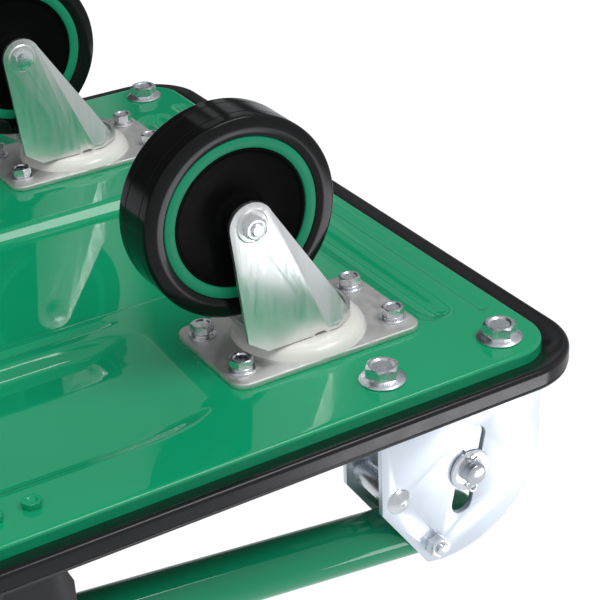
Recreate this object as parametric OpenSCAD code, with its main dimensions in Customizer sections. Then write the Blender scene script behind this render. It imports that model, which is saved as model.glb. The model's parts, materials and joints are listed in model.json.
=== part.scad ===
// Platform trolley with a fold-down push handle, standing on its four castors.
// +Z is up, +X points to the front, the handle is hinged at the -X end, and the
// origin lies on the floor under the middle of the deck. Sizes in millimetres.
// The model is drawn with the handle folded flat over the deck.

/* [Deck] */
// Length of the pressed steel deck, without its bumper
deck_l = 868; // [800:1:1000]
// Width of the pressed steel deck, without its bumper
deck_w = 542; // [480:1:660]
// Sheet thickness of the deck
sheet = 2; // [1.5:0.1:3]
// Corner radius of the deck, at the bend
deck_corner_r = 30; // [22:1:45]
// Height of the turned-up rim, from the underside to the flange
rim_h = 10; // [8:0.5:14]
// Width of the outward flange that carries the bumper
flange_w = 9; // [7:0.5:12]
// Width of the flat border along the long sides
border_w = 49; // [48:0.5:56]
// Rise of the load ribs above the deck's lowest face
rib_h = 9; // [7:0.5:12]
// Rise of the shallow side fields
field_h = 4; // [2:0.5:6]

// Thickness of the rubber mat on the load ribs
mat_t = 3; // [2:0.5:5]

/* [Bumper] */
// How far the bumper stands out from the rim
bumper_out = 17; // [14:0.5:22]
// Height of the bumper
bumper_h = 14; // [12:0.5:18]

/* [Castors] */
// Wheel diameter
wheel_d = 125; // [100:1:150]
// Tyre width
wheel_w = 35; // [28:1:38]
// Height from the floor to the castor's mounting face
castor_h = 160; // [150:1:200]
// Distance from the deck's end to the swivel axis
castor_in_x = 127; // [120:1:150]
// Distance from the deck's side to the swivel axis
castor_in_y = 101; // [96:1:120]
// Offset of the axle behind the swivel axis
trail = 43; // [36:1:48]
// Length of the castor's top plate
plate_l = 132; // [124:1:140]
// Width of the castor's top plate
plate_w = 84; // [84:1:96]
// Thickness of the top plate
plate_t = 4; // [3:0.5:5]
// Bolt spacing along the plate
plate_hole_x = 108; // [104:1:112]
// Bolt spacing across the plate
plate_hole_y = 50; // [48:1:60]
// Diameter of the castor's bolts
castor_bolt_d = 8; // [6:1:10]
// Diameter of the wheel axle
axle_d = 8; // [8:0.5:12]
// Outer width of the fork
fork_w = 57; // [54:0.5:64]
// Sheet thickness of the fork
fork_t = 3; // [2.5:0.5:4]

/* [Handle] */
// Outer diameter of the handle tube
tube_d = 34; // [30:0.5:36]
// Wall of the handle tube
tube_t = 2; // [1.5:0.1:3]
// Distance from the pivot to the middle of the grip
handle_l = 640; // [560:1:700]
// Radius of the bends at the grip, on the tube's centre line
handle_bend_r = 90; // [70:1:120]
// Tilt of the folded handle, down towards the front
fold_tilt = 7; // [6.5:0.1:7.2]
// Length of the tube behind the pivot, to the tip of its domed end
tube_tip = 45; // [42:0.5:46]
// Turn from folded to upright
fold_turn = 109; // [100:1:110]

/* [Handle bracket] */
// Distance from the deck's end to the handle pivot
pivot_in = 93; // [90:1:110]
// Height of the pivot above the deck's lowest face
pivot_h = 116; // [114:1:126]
// Plate thickness of the bracket
bracket_t = 4; // [3:0.5:5]
// Clearance on each side of the tube between the cheeks
cheek_gap = 1; // [0.5:0.1:1.5]
// Radius of the cheek's rounded rear corner
cheek_r = 68; // [60:1:72]
// Diameter of the bolts that hold the bracket to the deck
bracket_bolt_d = 12; // [10:1:12]
// Diameter of the pivot and stop bolts
pivot_bolt_d = 8; // [6:1:10]

/* [Lock bar] */
// Diameter of the lock bar
bar_d = 14; // [12:0.5:14]
// Lean of the slots from the vertical
slot_lean = 12; // [11:0.5:13]
// Travel of the bar from engaged to fully pressed
bar_travel = 46; // [40:1:48]
// Distance from the engaged position to the drawn rest position
bar_rest = 24; // [23:0.5:28]

/* [Hidden] */
$fn = 64;
eps = 0.5;

// Colours
green = "#1f9a6b";
zinc = "#c9ced2";
black = "#161616";
cream = "#dfe0dc";

// Running and assembly clearances
run = 0.08;
clear = 0.3;

// Deck levels
deck_z = castor_h;
deck_top = deck_z + sheet;
load_z = deck_z + rib_h + sheet;
flange_z = deck_z + rim_h;
bumper_top = flange_z + sheet/2 + bumper_h/2;
wall_slope = 6;

// Places of the castors and of the pivot
castor_x = deck_l/2 - castor_in_x;
castor_y = deck_w/2 - castor_in_y;
wheel_r = wheel_d/2;
pivot_x = -deck_l/2 + pivot_in;
pivot_z = deck_z + pivot_h;
tube_r = tube_d/2;

// Bracket, drawn for the right side and mirrored for the left
cheek_space = tube_d + 2*cheek_gap;
bracket_w = cheek_space + 2*bracket_t;
rim_gap = 0.5;
bracket_y = deck_w/2 - sheet - rim_gap - bracket_w/2;
cheek_front = 38;
cheek_rear = 79.5;
cheek_corner_drop = 36;
cheek_top = 14.5;
bolt_front = 22;
bolt_rear = 64;
relief_x = -deck_l/2 + deck_corner_r + 2;
relief_y = 11;
stop_dx = 26;
stop_dz = -42;
stop_sleeve_r = 7.5;

// Lock bar: place of its axis when engaged, from the pivot
bar_dx = -20.5;
bar_dz = -22.8;
slot_dir = [-sin(slot_lean), -cos(slot_lean)];
slot_clear = 0.6;
bar_x = pivot_x + bar_dx + slot_dir.x*bar_rest;
bar_z = pivot_z + bar_dz + slot_dir.y*bar_rest;
washer_t = 2;
bar_end = 7;

// Castor internals, measured down from the deck
plate_z = castor_h - plate_t;
cup_depth = 8;
cup_z = plate_z - cup_depth;
cup_r = 43;
cup_floor = 5;
head_gap = 0.8;
head_t = 4;
head_z = cup_z - head_gap - head_t;
head_r = 31;
ball_ring_r = 26;
ball_d = 5.6;
groove_r = ball_d/2 + clear;
ball_count = 14;
kingpin_d = 12;
fork_back = -5;
axle_boss_r = 14.5;
boss_out = 0.8;
washer_stack = 3.4;

// Wheel
tyre_t = 12.5;
rim_r = wheel_r - tyre_t;
band_w = 7;
hub_r = 13;
bearing_r = 9;

// ---------- shared shapes ----------

module rounded_plan(l, w, r) {
  square([l - 2*r, w], center = true);
  square([l, w - 2*r], center = true);
  for (sx = [-1, 1], sy = [-1, 1])
    translate([sx*(l/2 - r), sy*(w/2 - r)]) circle(r);
}

// Flat-topped hollow with sloping sides, from z = 0 up to h
module hollow(x0, x1, y0, y1, h) {
  s = h*wall_slope/10;
  intersection() {
    translate([0, y1 + 1, 0]) rotate([90, 0, 0]) linear_extrude(y1 - y0 + 2)
      polygon([[x0, -eps], [x1, -eps], [x1, 0], [x1 - s, h], [x0 + s, h], [x0, 0]]);
    translate([x0 - 1, 0, 0]) rotate([90, 0, 90]) linear_extrude(x1 - x0 + 2)
      polygon([[y0, -eps], [y1, -eps], [y1, 0], [y1 - s, h], [y0 + s, h], [y0, 0]]);
  }
}

// Metal that lies over a hollow
module hollow_cover(x0, x1, y0, y1, h) {
  t = sheet*1.1;
  s = h*wall_slope/10;
  k = sheet*wall_slope/10;
  intersection() {
    translate([0, y1 + t + 1, 0]) rotate([90, 0, 0]) linear_extrude(y1 - y0 + 2*t + 2)
      polygon([[x0 - t, 0], [x1 + t, 0], [x1 - s + t - k, h + sheet], [x0 + s - t + k, h + sheet]]);
    translate([x0 - t - 1, 0, 0]) rotate([90, 0, 90]) linear_extrude(x1 - x0 + 2*t + 2)
      polygon([[y0 - t, 0], [y1 + t, 0], [y1 - s + t - k, h + sheet], [y0 + s - t + k, h + sheet]]);
  }
}

// A shape for both sides of the trolley: drawn on the right, mirrored to the left
module both_sides() {
  children();
  mirror([0, 1, 0]) children();
}

module hex(af, h) {
  cylinder(r = af/2/cos(30), h = h, $fn = 6);
}

// Hex head that hangs below z = 0, with the stamped hollow of a forged bolt
module hex_head(af, h) {
  difference() {
    translate([0, 0, -h]) hex(af, h);
    translate([0, 0, -h - 0.01]) cylinder(r1 = af*0.36, r2 = af*0.24, h = h*0.25);
  }
}

module hex_nut(af, h, d) {
  difference() {
    hex(af, h);
    translate([0, 0, -1]) cylinder(d = d, h = h + 2);
  }
}

// ---------- deck ----------

// Hollows pressed into the deck, each [x0, x1, y0, y1, height]
inner_x = castor_x - plate_l/2 - 18;
end_x = castor_x + plate_l/2;
pad_y = castor_y - plate_w/2;
edge_y = deck_w/2 - border_w;
rib_y1 = pad_y + 20;
rib_y0 = rib_y1 - 46;
centre_y = rib_y0 - 23;
end_gap = deck_l/2 - end_x;
HOLLOWS = concat(
  [for (s = [-1, 1]) [-inner_x, inner_x, min(s*rib_y1, s*edge_y), max(s*rib_y1, s*edge_y), field_h]],
  [for (s = [-1, 1]) [-inner_x, inner_x, min(s*rib_y0, s*rib_y1), max(s*rib_y0, s*rib_y1), rib_h]],
  [for (s = [-1, 1]) [-inner_x, inner_x, s*(rib_y0 - 12) - 4, s*(rib_y0 - 12) + 4, field_h/2]],
  [[-(end_x - 28), end_x - 28, -centre_y, centre_y, rib_h]],
  [for (s = [-1, 1]) [s*(end_x + end_gap*0.22) - 8.5, s*(end_x + end_gap*0.22) + 8.5,
    -(castor_y + plate_w/2 - 3), castor_y + plate_w/2 - 3, rib_h*0.7]],
  [for (s = [-1, 1]) [s*(end_x + end_gap*0.79) - 4, s*(end_x + end_gap*0.79) + 4,
    -(castor_y + plate_w/2 + 4), castor_y + plate_w/2 + 4, field_h*0.75]]);

module castor_holes(d) {
  for (sx = [-1, 1], sy = [-1, 1], hx = [-1, 1], hy = [-1, 1])
    translate([sx*castor_x + hx*plate_hole_x/2, sy*castor_y + hy*plate_hole_y/2]) circle(d = d);
}

module bracket_holes(d) {
  for (sy = [-1, 1], dx = [bolt_front, -bolt_rear])
    translate([pivot_x + dx, sy*bracket_y]) circle(d = d);
}

module deck_panel() {
  color(green)
  difference() {
    union() {
      translate([0, 0, deck_z]) linear_extrude(sheet) rounded_plan(deck_l, deck_w, deck_corner_r);
      translate([0, 0, deck_z]) for (h = HOLLOWS) hollow_cover(h[0], h[1], h[2], h[3], h[4]);
      translate([0, 0, deck_z]) linear_extrude(rim_h + sheet) difference() {
        rounded_plan(deck_l, deck_w, deck_corner_r);
        rounded_plan(deck_l - 2*sheet, deck_w - 2*sheet, deck_corner_r - sheet);
      }
      translate([0, 0, flange_z]) linear_extrude(sheet) difference() {
        rounded_plan(deck_l + 2*flange_w, deck_w + 2*flange_w, deck_corner_r + flange_w);
        rounded_plan(deck_l - 2*sheet, deck_w - 2*sheet, deck_corner_r - sheet);
      }
    }
    translate([0, 0, deck_z]) for (h = HOLLOWS) hollow(h[0], h[1], h[2], h[3], h[4]);
    translate([0, 0, deck_z - 1]) linear_extrude(sheet + 2) {
      castor_holes(castor_bolt_d + 2*clear);
      bracket_holes(bracket_bolt_d + 2*clear);
      rest_holes(rest_screw_d + 2*clear);
    }
  }
}

// Rubber mat on the load ribs, cut out round the brackets and the handle rests
module deck_mat() {
  edge = 4;
  color(black) translate([0, 0, load_z]) linear_extrude(mat_t) difference() {
    rounded_plan(deck_l - 2*(sheet + edge), deck_w - 2*(sheet + edge), deck_corner_r - sheet - edge);
    for (s = [-1, 1]) {
      translate([-deck_l/2, s*deck_w/2 - (s > 0 ? deck_w/2 - mat_cut_y : 0)])
        square([deck_l/2 + pivot_x + cheek_front + edge, deck_w/2 - mat_cut_y]);
      translate([rest_x - rest_l/2 - edge, s*deck_w/2 - (s > 0 ? deck_w/2 - mat_cut_y : 0)])
        square([rest_l + 2*edge, deck_w/2 - mat_cut_y]);
    }
  }
}

// Points along an arc about c, from angle a0 to a1 in n steps
function arc(c, r, a0, a1, n) = [for (i = [0 : n]) c + r*[cos(a0 + (a1 - a0)*i/n), sin(a0 + (a1 - a0)*i/n)]];

// Cross-section of the bumper, from the rim's face outwards: sloped shoulder, upright nose
module bumper_profile() {
  h = bumper_h/2;
  r = 3;
  lean = 15;
  low = [bumper_out - r, -h + r];
  foot = low + r*[-sin(lean), -cos(lean)];
  difference() {
    polygon(concat([[0, h], [0, foot[1] + foot[0]*tan(lean)]], arc(low, r, -90 - lean, 0, 6),
      arc([bumper_out - r, h - r], r, 0, 90, 6)));
    translate([-1, -sheet/2]) square([flange_w + 1, sheet]);
  }
}

module edge_bumper() {
  lx = deck_l/2 - deck_corner_r;
  ly = deck_w/2 - deck_corner_r;
  color(black)
  translate([0, 0, flange_z + sheet/2]) {
    for (s = [0, 1]) rotate(180*s) {
      translate([deck_l/2, ly, 0]) rotate([90, 0, 0]) linear_extrude(2*ly) bumper_profile();
      translate([-lx, deck_w/2, 0]) rotate([90, 0, 90]) linear_extrude(2*lx) bumper_profile();
    }
    for (sx = [0, 1], sy = [0, 1]) mirror([sx, 0, 0]) mirror([0, sy, 0])
      translate([lx, ly, 0]) rotate_extrude(angle = 90) translate([deck_corner_r, 0]) bumper_profile();
  }
}

// ---------- handle bracket ----------

module slot_plan(d) {
  a = [bar_dx, bar_dz];
  polygon(concat(arc(a, d/2, 180 - slot_lean, -slot_lean, 16),
    arc(a + slot_dir*bar_travel, d/2, -slot_lean, -180 - slot_lean, 16)));
}

// Outline of a cheek, from the pivot: x to the front, y up
module cheek_plan() {
  base = -pivot_h + sheet;
  difference() {
    polygon(concat([[cheek_front, base], [cheek_front, -cheek_corner_drop], [5, cheek_top - 2],
      [-6, cheek_top]],
      arc([-cheek_rear + cheek_r, cheek_top - cheek_r], cheek_r, 90, 180, 30),
      [[-cheek_rear, base]]));
    circle(d = pivot_bolt_d + 2*clear);
    translate([stop_dx, stop_dz]) circle(d = pivot_bolt_d + 2*clear);
    slot_plan(bar_d + 2*slot_clear);
  }
}

// Two cheeks on a base, notched to clear the deck's rounded corner
module bracket() {
  color(zinc) difference() {
    union() {
      for (y = [-bracket_w/2, bracket_w/2 - bracket_t])
        translate([pivot_x, -bracket_y + y + bracket_t, pivot_z]) rotate([90, 0, 0])
          linear_extrude(bracket_t) cheek_plan();
      translate([pivot_x - cheek_rear, -bracket_y - bracket_w/2, deck_top])
        cube([cheek_rear + cheek_front, bracket_w, bracket_t]);
    }
    translate([0, 0, deck_top - 1]) linear_extrude(bracket_t + 2)
      bracket_holes(bracket_bolt_d + 2*clear);
    translate([pivot_x - cheek_rear - 1, -deck_w/2, deck_top - 1])
      cube([relief_x - pivot_x + cheek_rear + 1, deck_w/2 - bracket_y - relief_y,
        bumper_top + rim_gap - deck_top + 1]);
  }
}

module bracket_right() { bracket(); }

module bracket_left() { mirror([0, 1, 0]) bracket(); }

module bracket_bolts() {
  shank = sheet + bracket_t + 14;
  color(zinc) both_sides() for (dx = [bolt_front, -bolt_rear])
    translate([pivot_x + dx, -bracket_y, deck_z]) {
      translate([0, 0, -3]) cylinder(r1 = bracket_bolt_d*1.14, r2 = bracket_bolt_d*1.2, h = 3);
      translate([0, 0, -2]) hex_head(19, 8.5);
      cylinder(d = bracket_bolt_d, h = shank);
    }
}

module bracket_nuts() {
  color(zinc) both_sides() for (dx = [bolt_front, -bolt_rear])
    translate([pivot_x + dx, -bracket_y, deck_top + bracket_t]) hex_nut(19, 10, bracket_bolt_d);
}

// Bolt across the cheeks with a domed head outside, at dx, dz from the pivot
module cross_bolt(dx, dz) {
  translate([pivot_x + dx, -bracket_y - bracket_w/2, pivot_z + dz]) rotate([-90, 0, 0]) {
    cylinder(d = pivot_bolt_d, h = bracket_w + 10);
    translate([0, 0, -4.5]) intersection() {
      cylinder(d = 17, h = 4.5);
      translate([0, 0, 10.4]) sphere(r = 10.4);
    }
  }
}

// Nut at the far end of such a bolt
module cross_nut(dx, dz) {
  translate([pivot_x + dx, -bracket_y + bracket_w/2, pivot_z + dz]) rotate([-90, 0, 0])
    hex_nut(13, 7, pivot_bolt_d);
}

module stop_bolts() { color(zinc) both_sides() cross_bolt(stop_dx, stop_dz); }

module stop_nuts() { color(zinc) both_sides() cross_nut(stop_dx, stop_dz); }

module stop_sleeves() {
  color(zinc) both_sides()
    translate([pivot_x + stop_dx, -bracket_y - cheek_space/2, pivot_z + stop_dz]) rotate([-90, 0, 0])
      difference() {
        cylinder(r = stop_sleeve_r, h = cheek_space);
        translate([0, 0, -1]) cylinder(d = pivot_bolt_d, h = cheek_space + 2);
      }
}

// The pivot bolts carry their nuts on the outside
module pivot_bolts() {
  color(zinc) both_sides()
    translate([pivot_x, -bracket_y + bracket_w/2, pivot_z]) rotate([90, 0, 0]) {
      cylinder(d = pivot_bolt_d, h = bracket_w + 9);
      translate([0, 0, -5.3]) rotate([0, 0, 15]) hex(13, 5.3);
    }
}

module pivot_nuts() {
  color(zinc) both_sides()
    translate([pivot_x, -bracket_y - bracket_w/2, pivot_z]) rotate([90, 0, 0])
      rotate([0, 0, 20]) hex_nut(13, 7, pivot_bolt_d);
}

// ---------- handle rests ----------

rest_x = -85;
rest_l = 42;
rest_flare = 9;
rest_w = tube_d + 10;
rest_wall_up = 7;
rest_screw_d = 6;
rest_pitch = 22;
mat_cut_y = bracket_y - bracket_w/2 - 4;
rest_axis_z = pivot_z - (rest_x - pivot_x)*tan(fold_tilt);

module rest_holes(d) {
  for (sy = [-1, 1], dx = [-1, 1])
    translate([rest_x + dx*rest_pitch/2, sy*bracket_y]) circle(d = d);
}

module handle_rests() {
  top = rest_axis_z + rest_wall_up - deck_top;
  low = 16;
  color(black) both_sides() difference() {
    translate([rest_x, -bracket_y + rest_w/2, deck_top]) rotate([90, 0, 0]) linear_extrude(rest_w)
      polygon([[-rest_l/2 + rest_flare, 0], [rest_l/2 - rest_flare, 0],
        [rest_l/2 - rest_flare, low], [rest_l/2, low + 22], [rest_l/2, top - 3], [rest_l/2 - 3, top],
        [-rest_l/2 + 3, top], [-rest_l/2, top - 3], [-rest_l/2, low + 22],
        [-rest_l/2 + rest_flare, low]]);
    translate([pivot_x, -bracket_y, pivot_z]) rotate([0, fold_tilt, 0]) {
      translate([rest_x - pivot_x - 60, 0, 0]) rotate([0, 90, 0]) cylinder(r = tube_r + clear, h = 120);
      translate([rest_x - pivot_x - 60, -tube_r - clear, 0]) cube([120, tube_d + 2*clear, 60]);
    }
    translate([0, 0, deck_top - 1]) linear_extrude(15) rest_holes(rest_screw_d);
  }
}

module rest_screws() {
  color(zinc) both_sides() for (dx = [-1, 1])
    translate([rest_x + dx*rest_pitch/2, -bracket_y, deck_z]) {
      hex_head(10, 4);
      cylinder(d = rest_screw_d, h = 14);
    }
}

// Return springs of the lock bar, each between the bracket's base and the bar
module lock_springs() {
  base = deck_top + bracket_t;
  color(zinc) both_sides() translate([bar_x, -bracket_y, base]) difference() {
    cylinder(r = 6, h = bar_z - bar_d/2 - clear - base);
    translate([0, 0, -1]) cylinder(r = 4.4, h = bar_z);
  }
}

// ---------- castors ----------

module at_castor(sx, sy) {
  translate([sx*castor_x, sy*castor_y, 0]) children();
}

module plate_plan() {
  difference() {
    rounded_plan(plate_l, plate_w, 10);
    for (hx = [-1, 1], hy = [-1, 1])
      translate([hx*plate_hole_x/2, hy*plate_hole_y/2]) circle(d = castor_bolt_d + 2*clear);
  }
}

// Top plate of a swivel castor, pressed down into a cup that holds the ball race
module castor_plate() {
  wall = 3.5;
  color(zinc) {
    translate([0, 0, plate_z]) linear_extrude(plate_t) difference() {
      plate_plan();
      circle(cup_r - wall);
    }
    difference() {
      rotate_extrude($fn = 96) polygon([[kingpin_d/2 + run, cup_z], [cup_r - 9, cup_z],
        [cup_r - 4, cup_z + 1.6], [cup_r - 1.2, cup_z + 4.6], [cup_r, plate_z], [cup_r, castor_h],
        [cup_r - wall, castor_h], [cup_r - wall - 1.5, cup_z + cup_floor + 2],
        [cup_r - wall - 4, cup_z + cup_floor], [kingpin_d/2 + run, cup_z + cup_floor]]);
      translate([0, 0, cup_z - head_gap/2]) rotate_extrude($fn = 96)
        translate([ball_ring_r, 0]) circle(groove_r);
    }
  }
}

module castor_plate_rear_left() { at_castor(-1, 1) castor_plate(); }

module castor_plate_rear_right() { at_castor(-1, -1) castor_plate(); }

// Side view of a fork leg: the axle at dx in front of the plate's middle. The rear edge runs straight
// from the rounded end to the heel, and the wall behind the heel stays low.
module leg_plan(dx, back) {
  top = head_z + head_t;
  heel = 9.5;
  low = head_t + 1.5;
  translate([dx, wheel_r]) circle(axle_boss_r);
  polygon([[dx + axle_boss_r - 0.1, wheel_r + 2], [dx + 7, top - 9], [dx - 6, top], [back, top],
    [back, top - low], [back + heel, top - low],
    [dx - axle_boss_r*0.84, wheel_r - axle_boss_r*0.52]]);
}

// Plan of a fork: two legs and the curved wall that joins them
module fork_ring(t) {
  difference() {
    union() {
      translate([fork_back, 0]) circle(fork_w/2);
      translate([fork_back, -fork_w/2]) square([100, fork_w]);
    }
    union() {
      translate([fork_back, 0]) circle(fork_w/2 - t);
      translate([fork_back, -fork_w/2 + t]) square([101, fork_w - 2*t]);
    }
  }
}

module axle_cut(dx) {
  translate([dx, 50, wheel_r]) rotate([90, 0, 0]) cylinder(d = axle_d, h = 100);
}

// Pressed boss round the axle on each leg
module axle_bosses(dx) {
  for (s = [-1, 1]) translate([dx, s*(fork_w/2 - eps), wheel_r]) rotate([-90*s, 0, 0])
    cylinder(r1 = 11, r2 = 9.5, h = boss_out + eps);
}

module swivel_fork() {
  color(zinc) difference() {
    union() {
      intersection() {
        linear_extrude(castor_h) fork_ring(fork_t);
        translate([0, 60, 0]) rotate([90, 0, 0]) linear_extrude(120)
          leg_plan(trail, fork_back - fork_w/2);
      }
      translate([0, 0, head_z]) linear_extrude(head_t) intersection() {
        union() {
          circle(head_r);
          translate([fork_back, 0]) circle(fork_w/2);
          translate([fork_back, -fork_w/2]) square([trail - 6 - fork_back, fork_w]);
        }
        translate([fork_back - fork_w/2, -fork_w/2]) square([trail - 6 - fork_back + fork_w/2, fork_w]);
      }
      axle_bosses(trail);
    }
    axle_cut(trail);
    translate([0, 0, head_z - 1]) cylinder(d = kingpin_d, h = head_t + 2);
    translate([0, 0, cup_z - head_gap/2]) rotate_extrude($fn = 96)
      translate([ball_ring_r, 0]) circle(groove_r);
  }
}

module swivel_fork_left() { at_castor(-1, 1) swivel_fork(); }

module swivel_fork_right() { at_castor(-1, -1) swivel_fork(); }

module kingpin() {
  color(zinc) {
    translate([0, 0, head_z - 3]) cylinder(d = kingpin_d, h = cup_depth + head_gap + head_t + 2);
    translate([0, 0, head_z - 3]) cylinder(r1 = 7, r2 = 9, h = 3);
    translate([0, 0, cup_z + cup_floor + clear]) cylinder(r1 = 9, r2 = 7, h = 3);
  }
}

module kingpin_left() { at_castor(-1, 1) kingpin(); }

module kingpin_right() { at_castor(-1, -1) kingpin(); }

module swivel_balls() {
  color(zinc) translate([0, 0, cup_z - head_gap/2]) for (i = [0 : ball_count - 1])
    rotate(i*360/ball_count) translate([ball_ring_r, 0, 0]) sphere(d = ball_d, $fn = 24);
}

module swivel_balls_left() { at_castor(-1, 1) swivel_balls(); }

module swivel_balls_right() { at_castor(-1, -1) swivel_balls(); }

// Plate and fork of a fixed castor, welded into one piece
module fixed_fork() {
  color(zinc) difference() {
    union() {
      translate([0, 0, plate_z]) linear_extrude(plate_t) plate_plan();
      for (s = [-1, 1]) translate([0, s*(fork_w/2 - fork_t/2) + fork_t/2, 0]) rotate([90, 0, 0])
        linear_extrude(fork_t) {
          translate([0, wheel_r]) circle(axle_boss_r);
          polygon([[axle_boss_r, wheel_r], [42, plate_z - 12], [42, plate_z],
            [-42, plate_z], [-42, plate_z - 12], [-axle_boss_r, wheel_r]]);
        }
      axle_bosses(0);
    }
    axle_cut(0);
  }
}

module fixed_fork_front_left() { at_castor(1, 1) fixed_fork(); }

module fixed_fork_front_right() { at_castor(1, -1) fixed_fork(); }

module each_castor_hole() {
  for (sx = [-1, 1], sy = [-1, 1], hx = [-1, 1], hy = [-1, 1])
    translate([sx*castor_x + hx*plate_hole_x/2, sy*castor_y + hy*plate_hole_y/2, 0]) children();
}

module castor_bolts() {
  color(zinc) each_castor_hole() {
    translate([0, 0, plate_z - washer_stack]) hex_head(13, 5.5);
    translate([0, 0, plate_z - washer_stack])
      cylinder(d = castor_bolt_d, h = washer_stack + plate_t + sheet + 7.5);
  }
}

module castor_washers() {
  color(zinc) each_castor_hole() for (w = [[8.5, 0, 1.6], [6.6, 1.6, washer_stack - 1.6]])
    translate([0, 0, plate_z - w[1] - w[2]]) difference() {
      cylinder(r = w[0], h = w[2]);
      translate([0, 0, -1]) cylinder(d = castor_bolt_d, h = w[2] + 2);
    }
}

module castor_nuts() {
  color(zinc) each_castor_hole() translate([0, 0, deck_top]) hex_nut(13, 6.5, castor_bolt_d);
}

// ---------- axles and wheels ----------

axle_af = 13;
axle_head = 4.5;
axle_nut_h = 5;
axle_face = fork_w/2 + boss_out;

// Axle bolt along Y with its nut end on the side that s points to
module axle(s) {
  color(zinc) translate([0, 0, wheel_r]) rotate([-90*s, 0, 0]) {
    translate([0, 0, -axle_face - axle_head]) hex(axle_af, axle_head);
    translate([0, 0, -axle_face - 1]) cylinder(d = axle_d, h = 2*axle_face + axle_nut_h + 2);
  }
}

module axle_nut(s) {
  color(zinc) translate([0, 0, wheel_r]) rotate([-90*s, 0, 0]) translate([0, 0, axle_face])
    hex_nut(axle_af, axle_nut_h, axle_d);
}

module rear_axle_left() { at_castor(-1, 1) translate([trail, 0, 0]) axle(1); }

module rear_axle_right() { at_castor(-1, -1) translate([trail, 0, 0]) axle(-1); }

module rear_axle_nut_left() { at_castor(-1, 1) translate([trail, 0, 0]) axle_nut(1); }

module rear_axle_nut_right() { at_castor(-1, -1) translate([trail, 0, 0]) axle_nut(-1); }

module front_axles() { for (s = [-1, 1]) at_castor(1, s) axle(s); }

module front_axle_nuts() { for (s = [-1, 1]) at_castor(1, s) axle_nut(s); }

// Puts a wheel drawn round Z at its castor's axle
module at_wheel(sx, sy) {
  at_castor(sx, sy) translate([sx < 0 ? trail : 0, 0, wheel_r]) rotate([90, 0, 0]) children();
}

module tyre() {
  h = wheel_w/2;
  g = 1.2;
  shoulder = 2.5;
  color(black) rotate_extrude($fn = 128) polygon(concat([[rim_r, -h + 1], [rim_r + 2, -h]],
    arc([wheel_r - shoulder, -h + shoulder], shoulder, -90, 0, 4),
    [[wheel_r, -h + 8], [wheel_r - g, -h + 8.6], [wheel_r, -h + 9.2],
    [wheel_r, h - 9.2], [wheel_r - g, h - 8.6], [wheel_r, h - 8]],
    arc([wheel_r - shoulder, h - shoulder], shoulder, 0, 90, 4), [[rim_r + 2, h], [rim_r, h - 1]]));
}

module rim() {
  h = wheel_w/2;
  in_r = rim_r - band_w;
  color(green) rotate_extrude($fn = 128) polygon([[bearing_r, -h - 6], [hub_r, -h - 6], [hub_r, -h + 6],
    [in_r, -h + 6], [in_r, -h], [rim_r - 1, -h + 0.4], [rim_r, -h + 1.4], [rim_r, h - 1.4],
    [rim_r - 1, h - 0.4], [in_r, h], [in_r, h - 6], [hub_r, h - 6], [hub_r, h + 6], [bearing_r, h + 6]]);
}

module hub_caps() {
  in_r = rim_r - band_w;
  h = wheel_w/2;
  color(black) for (s = [0, 1]) mirror([0, 0, s]) rotate_extrude($fn = 96)
    polygon([[hub_r, h - 6], [in_r, h - 6], [in_r, h - 1.6], [in_r - 2, h - 1], [in_r - 6, h - 2.4],
      [hub_r + 6, h - 2.4], [hub_r + 2, h - 0.5], [hub_r, h - 0.5]]);
}

module bearing() {
  h = wheel_w/2 + 6.5;
  color(zinc) difference() {
    translate([0, 0, -h]) cylinder(r = bearing_r, h = 2*h);
    translate([0, 0, -h - 1]) cylinder(d = axle_d + 2*run, h = 2*h + 2);
  }
}

module tyre_rear_left() { at_wheel(-1, 1) tyre(); }

module tyre_rear_right() { at_wheel(-1, -1) tyre(); }

module tyre_front_left() { at_wheel(1, 1) tyre(); }

module tyre_front_right() { at_wheel(1, -1) tyre(); }

module rim_rear_left() { at_wheel(-1, 1) rim(); }

module rim_rear_right() { at_wheel(-1, -1) rim(); }

module rim_front_left() { at_wheel(1, 1) rim(); }

module rim_front_right() { at_wheel(1, -1) rim(); }

module hub_caps_rear_left() { at_wheel(-1, 1) hub_caps(); }

module hub_caps_rear_right() { at_wheel(-1, -1) hub_caps(); }

module hub_caps_front_left() { at_wheel(1, 1) hub_caps(); }

module hub_caps_front_right() { at_wheel(1, -1) hub_caps(); }

module bearing_rear_left() { at_wheel(-1, 1) bearing(); }

module bearing_rear_right() { at_wheel(-1, -1) bearing(); }

module bearing_front_left() { at_wheel(1, 1) bearing(); }

module bearing_front_right() { at_wheel(1, -1) bearing(); }

// ---------- handle ----------

bush_d = 14;
dome_x = tube_tip - tube_r;

// Puts a shape drawn with the handle along +X through the pivot into its folded place
module folded() {
  translate([pivot_x, 0, pivot_z]) rotate([0, fold_tilt, 0]) children();
}

// The handle's bent centre line as a solid bar of radius r, from x0 behind the pivot
module handle_bar(r, x0) {
  leg = handle_l - handle_bend_r;
  for (s = [-1, 1]) translate([x0, s*bracket_y, 0]) rotate([0, 90, 0]) cylinder(r = r, h = leg - x0);
  translate([handle_l, -bracket_y + handle_bend_r, 0]) rotate([-90, 0, 0])
    cylinder(r = r, h = 2*(bracket_y - handle_bend_r));
  for (s = [0, 1]) mirror([0, s, 0]) translate([leg, bracket_y - handle_bend_r, 0])
    rotate_extrude(angle = 90, $fn = 96) translate([handle_bend_r, 0]) circle(r);
}

module handle_tube() {
  color(green) folded() difference() {
    handle_bar(tube_r, -dome_x);
    handle_bar(tube_r - tube_t, -dome_x - 1);
    for (s = [-1, 1]) translate([0, s*bracket_y + 30, 0]) rotate([90, 0, 0])
      cylinder(d = bush_d, h = 60);
  }
}

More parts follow.
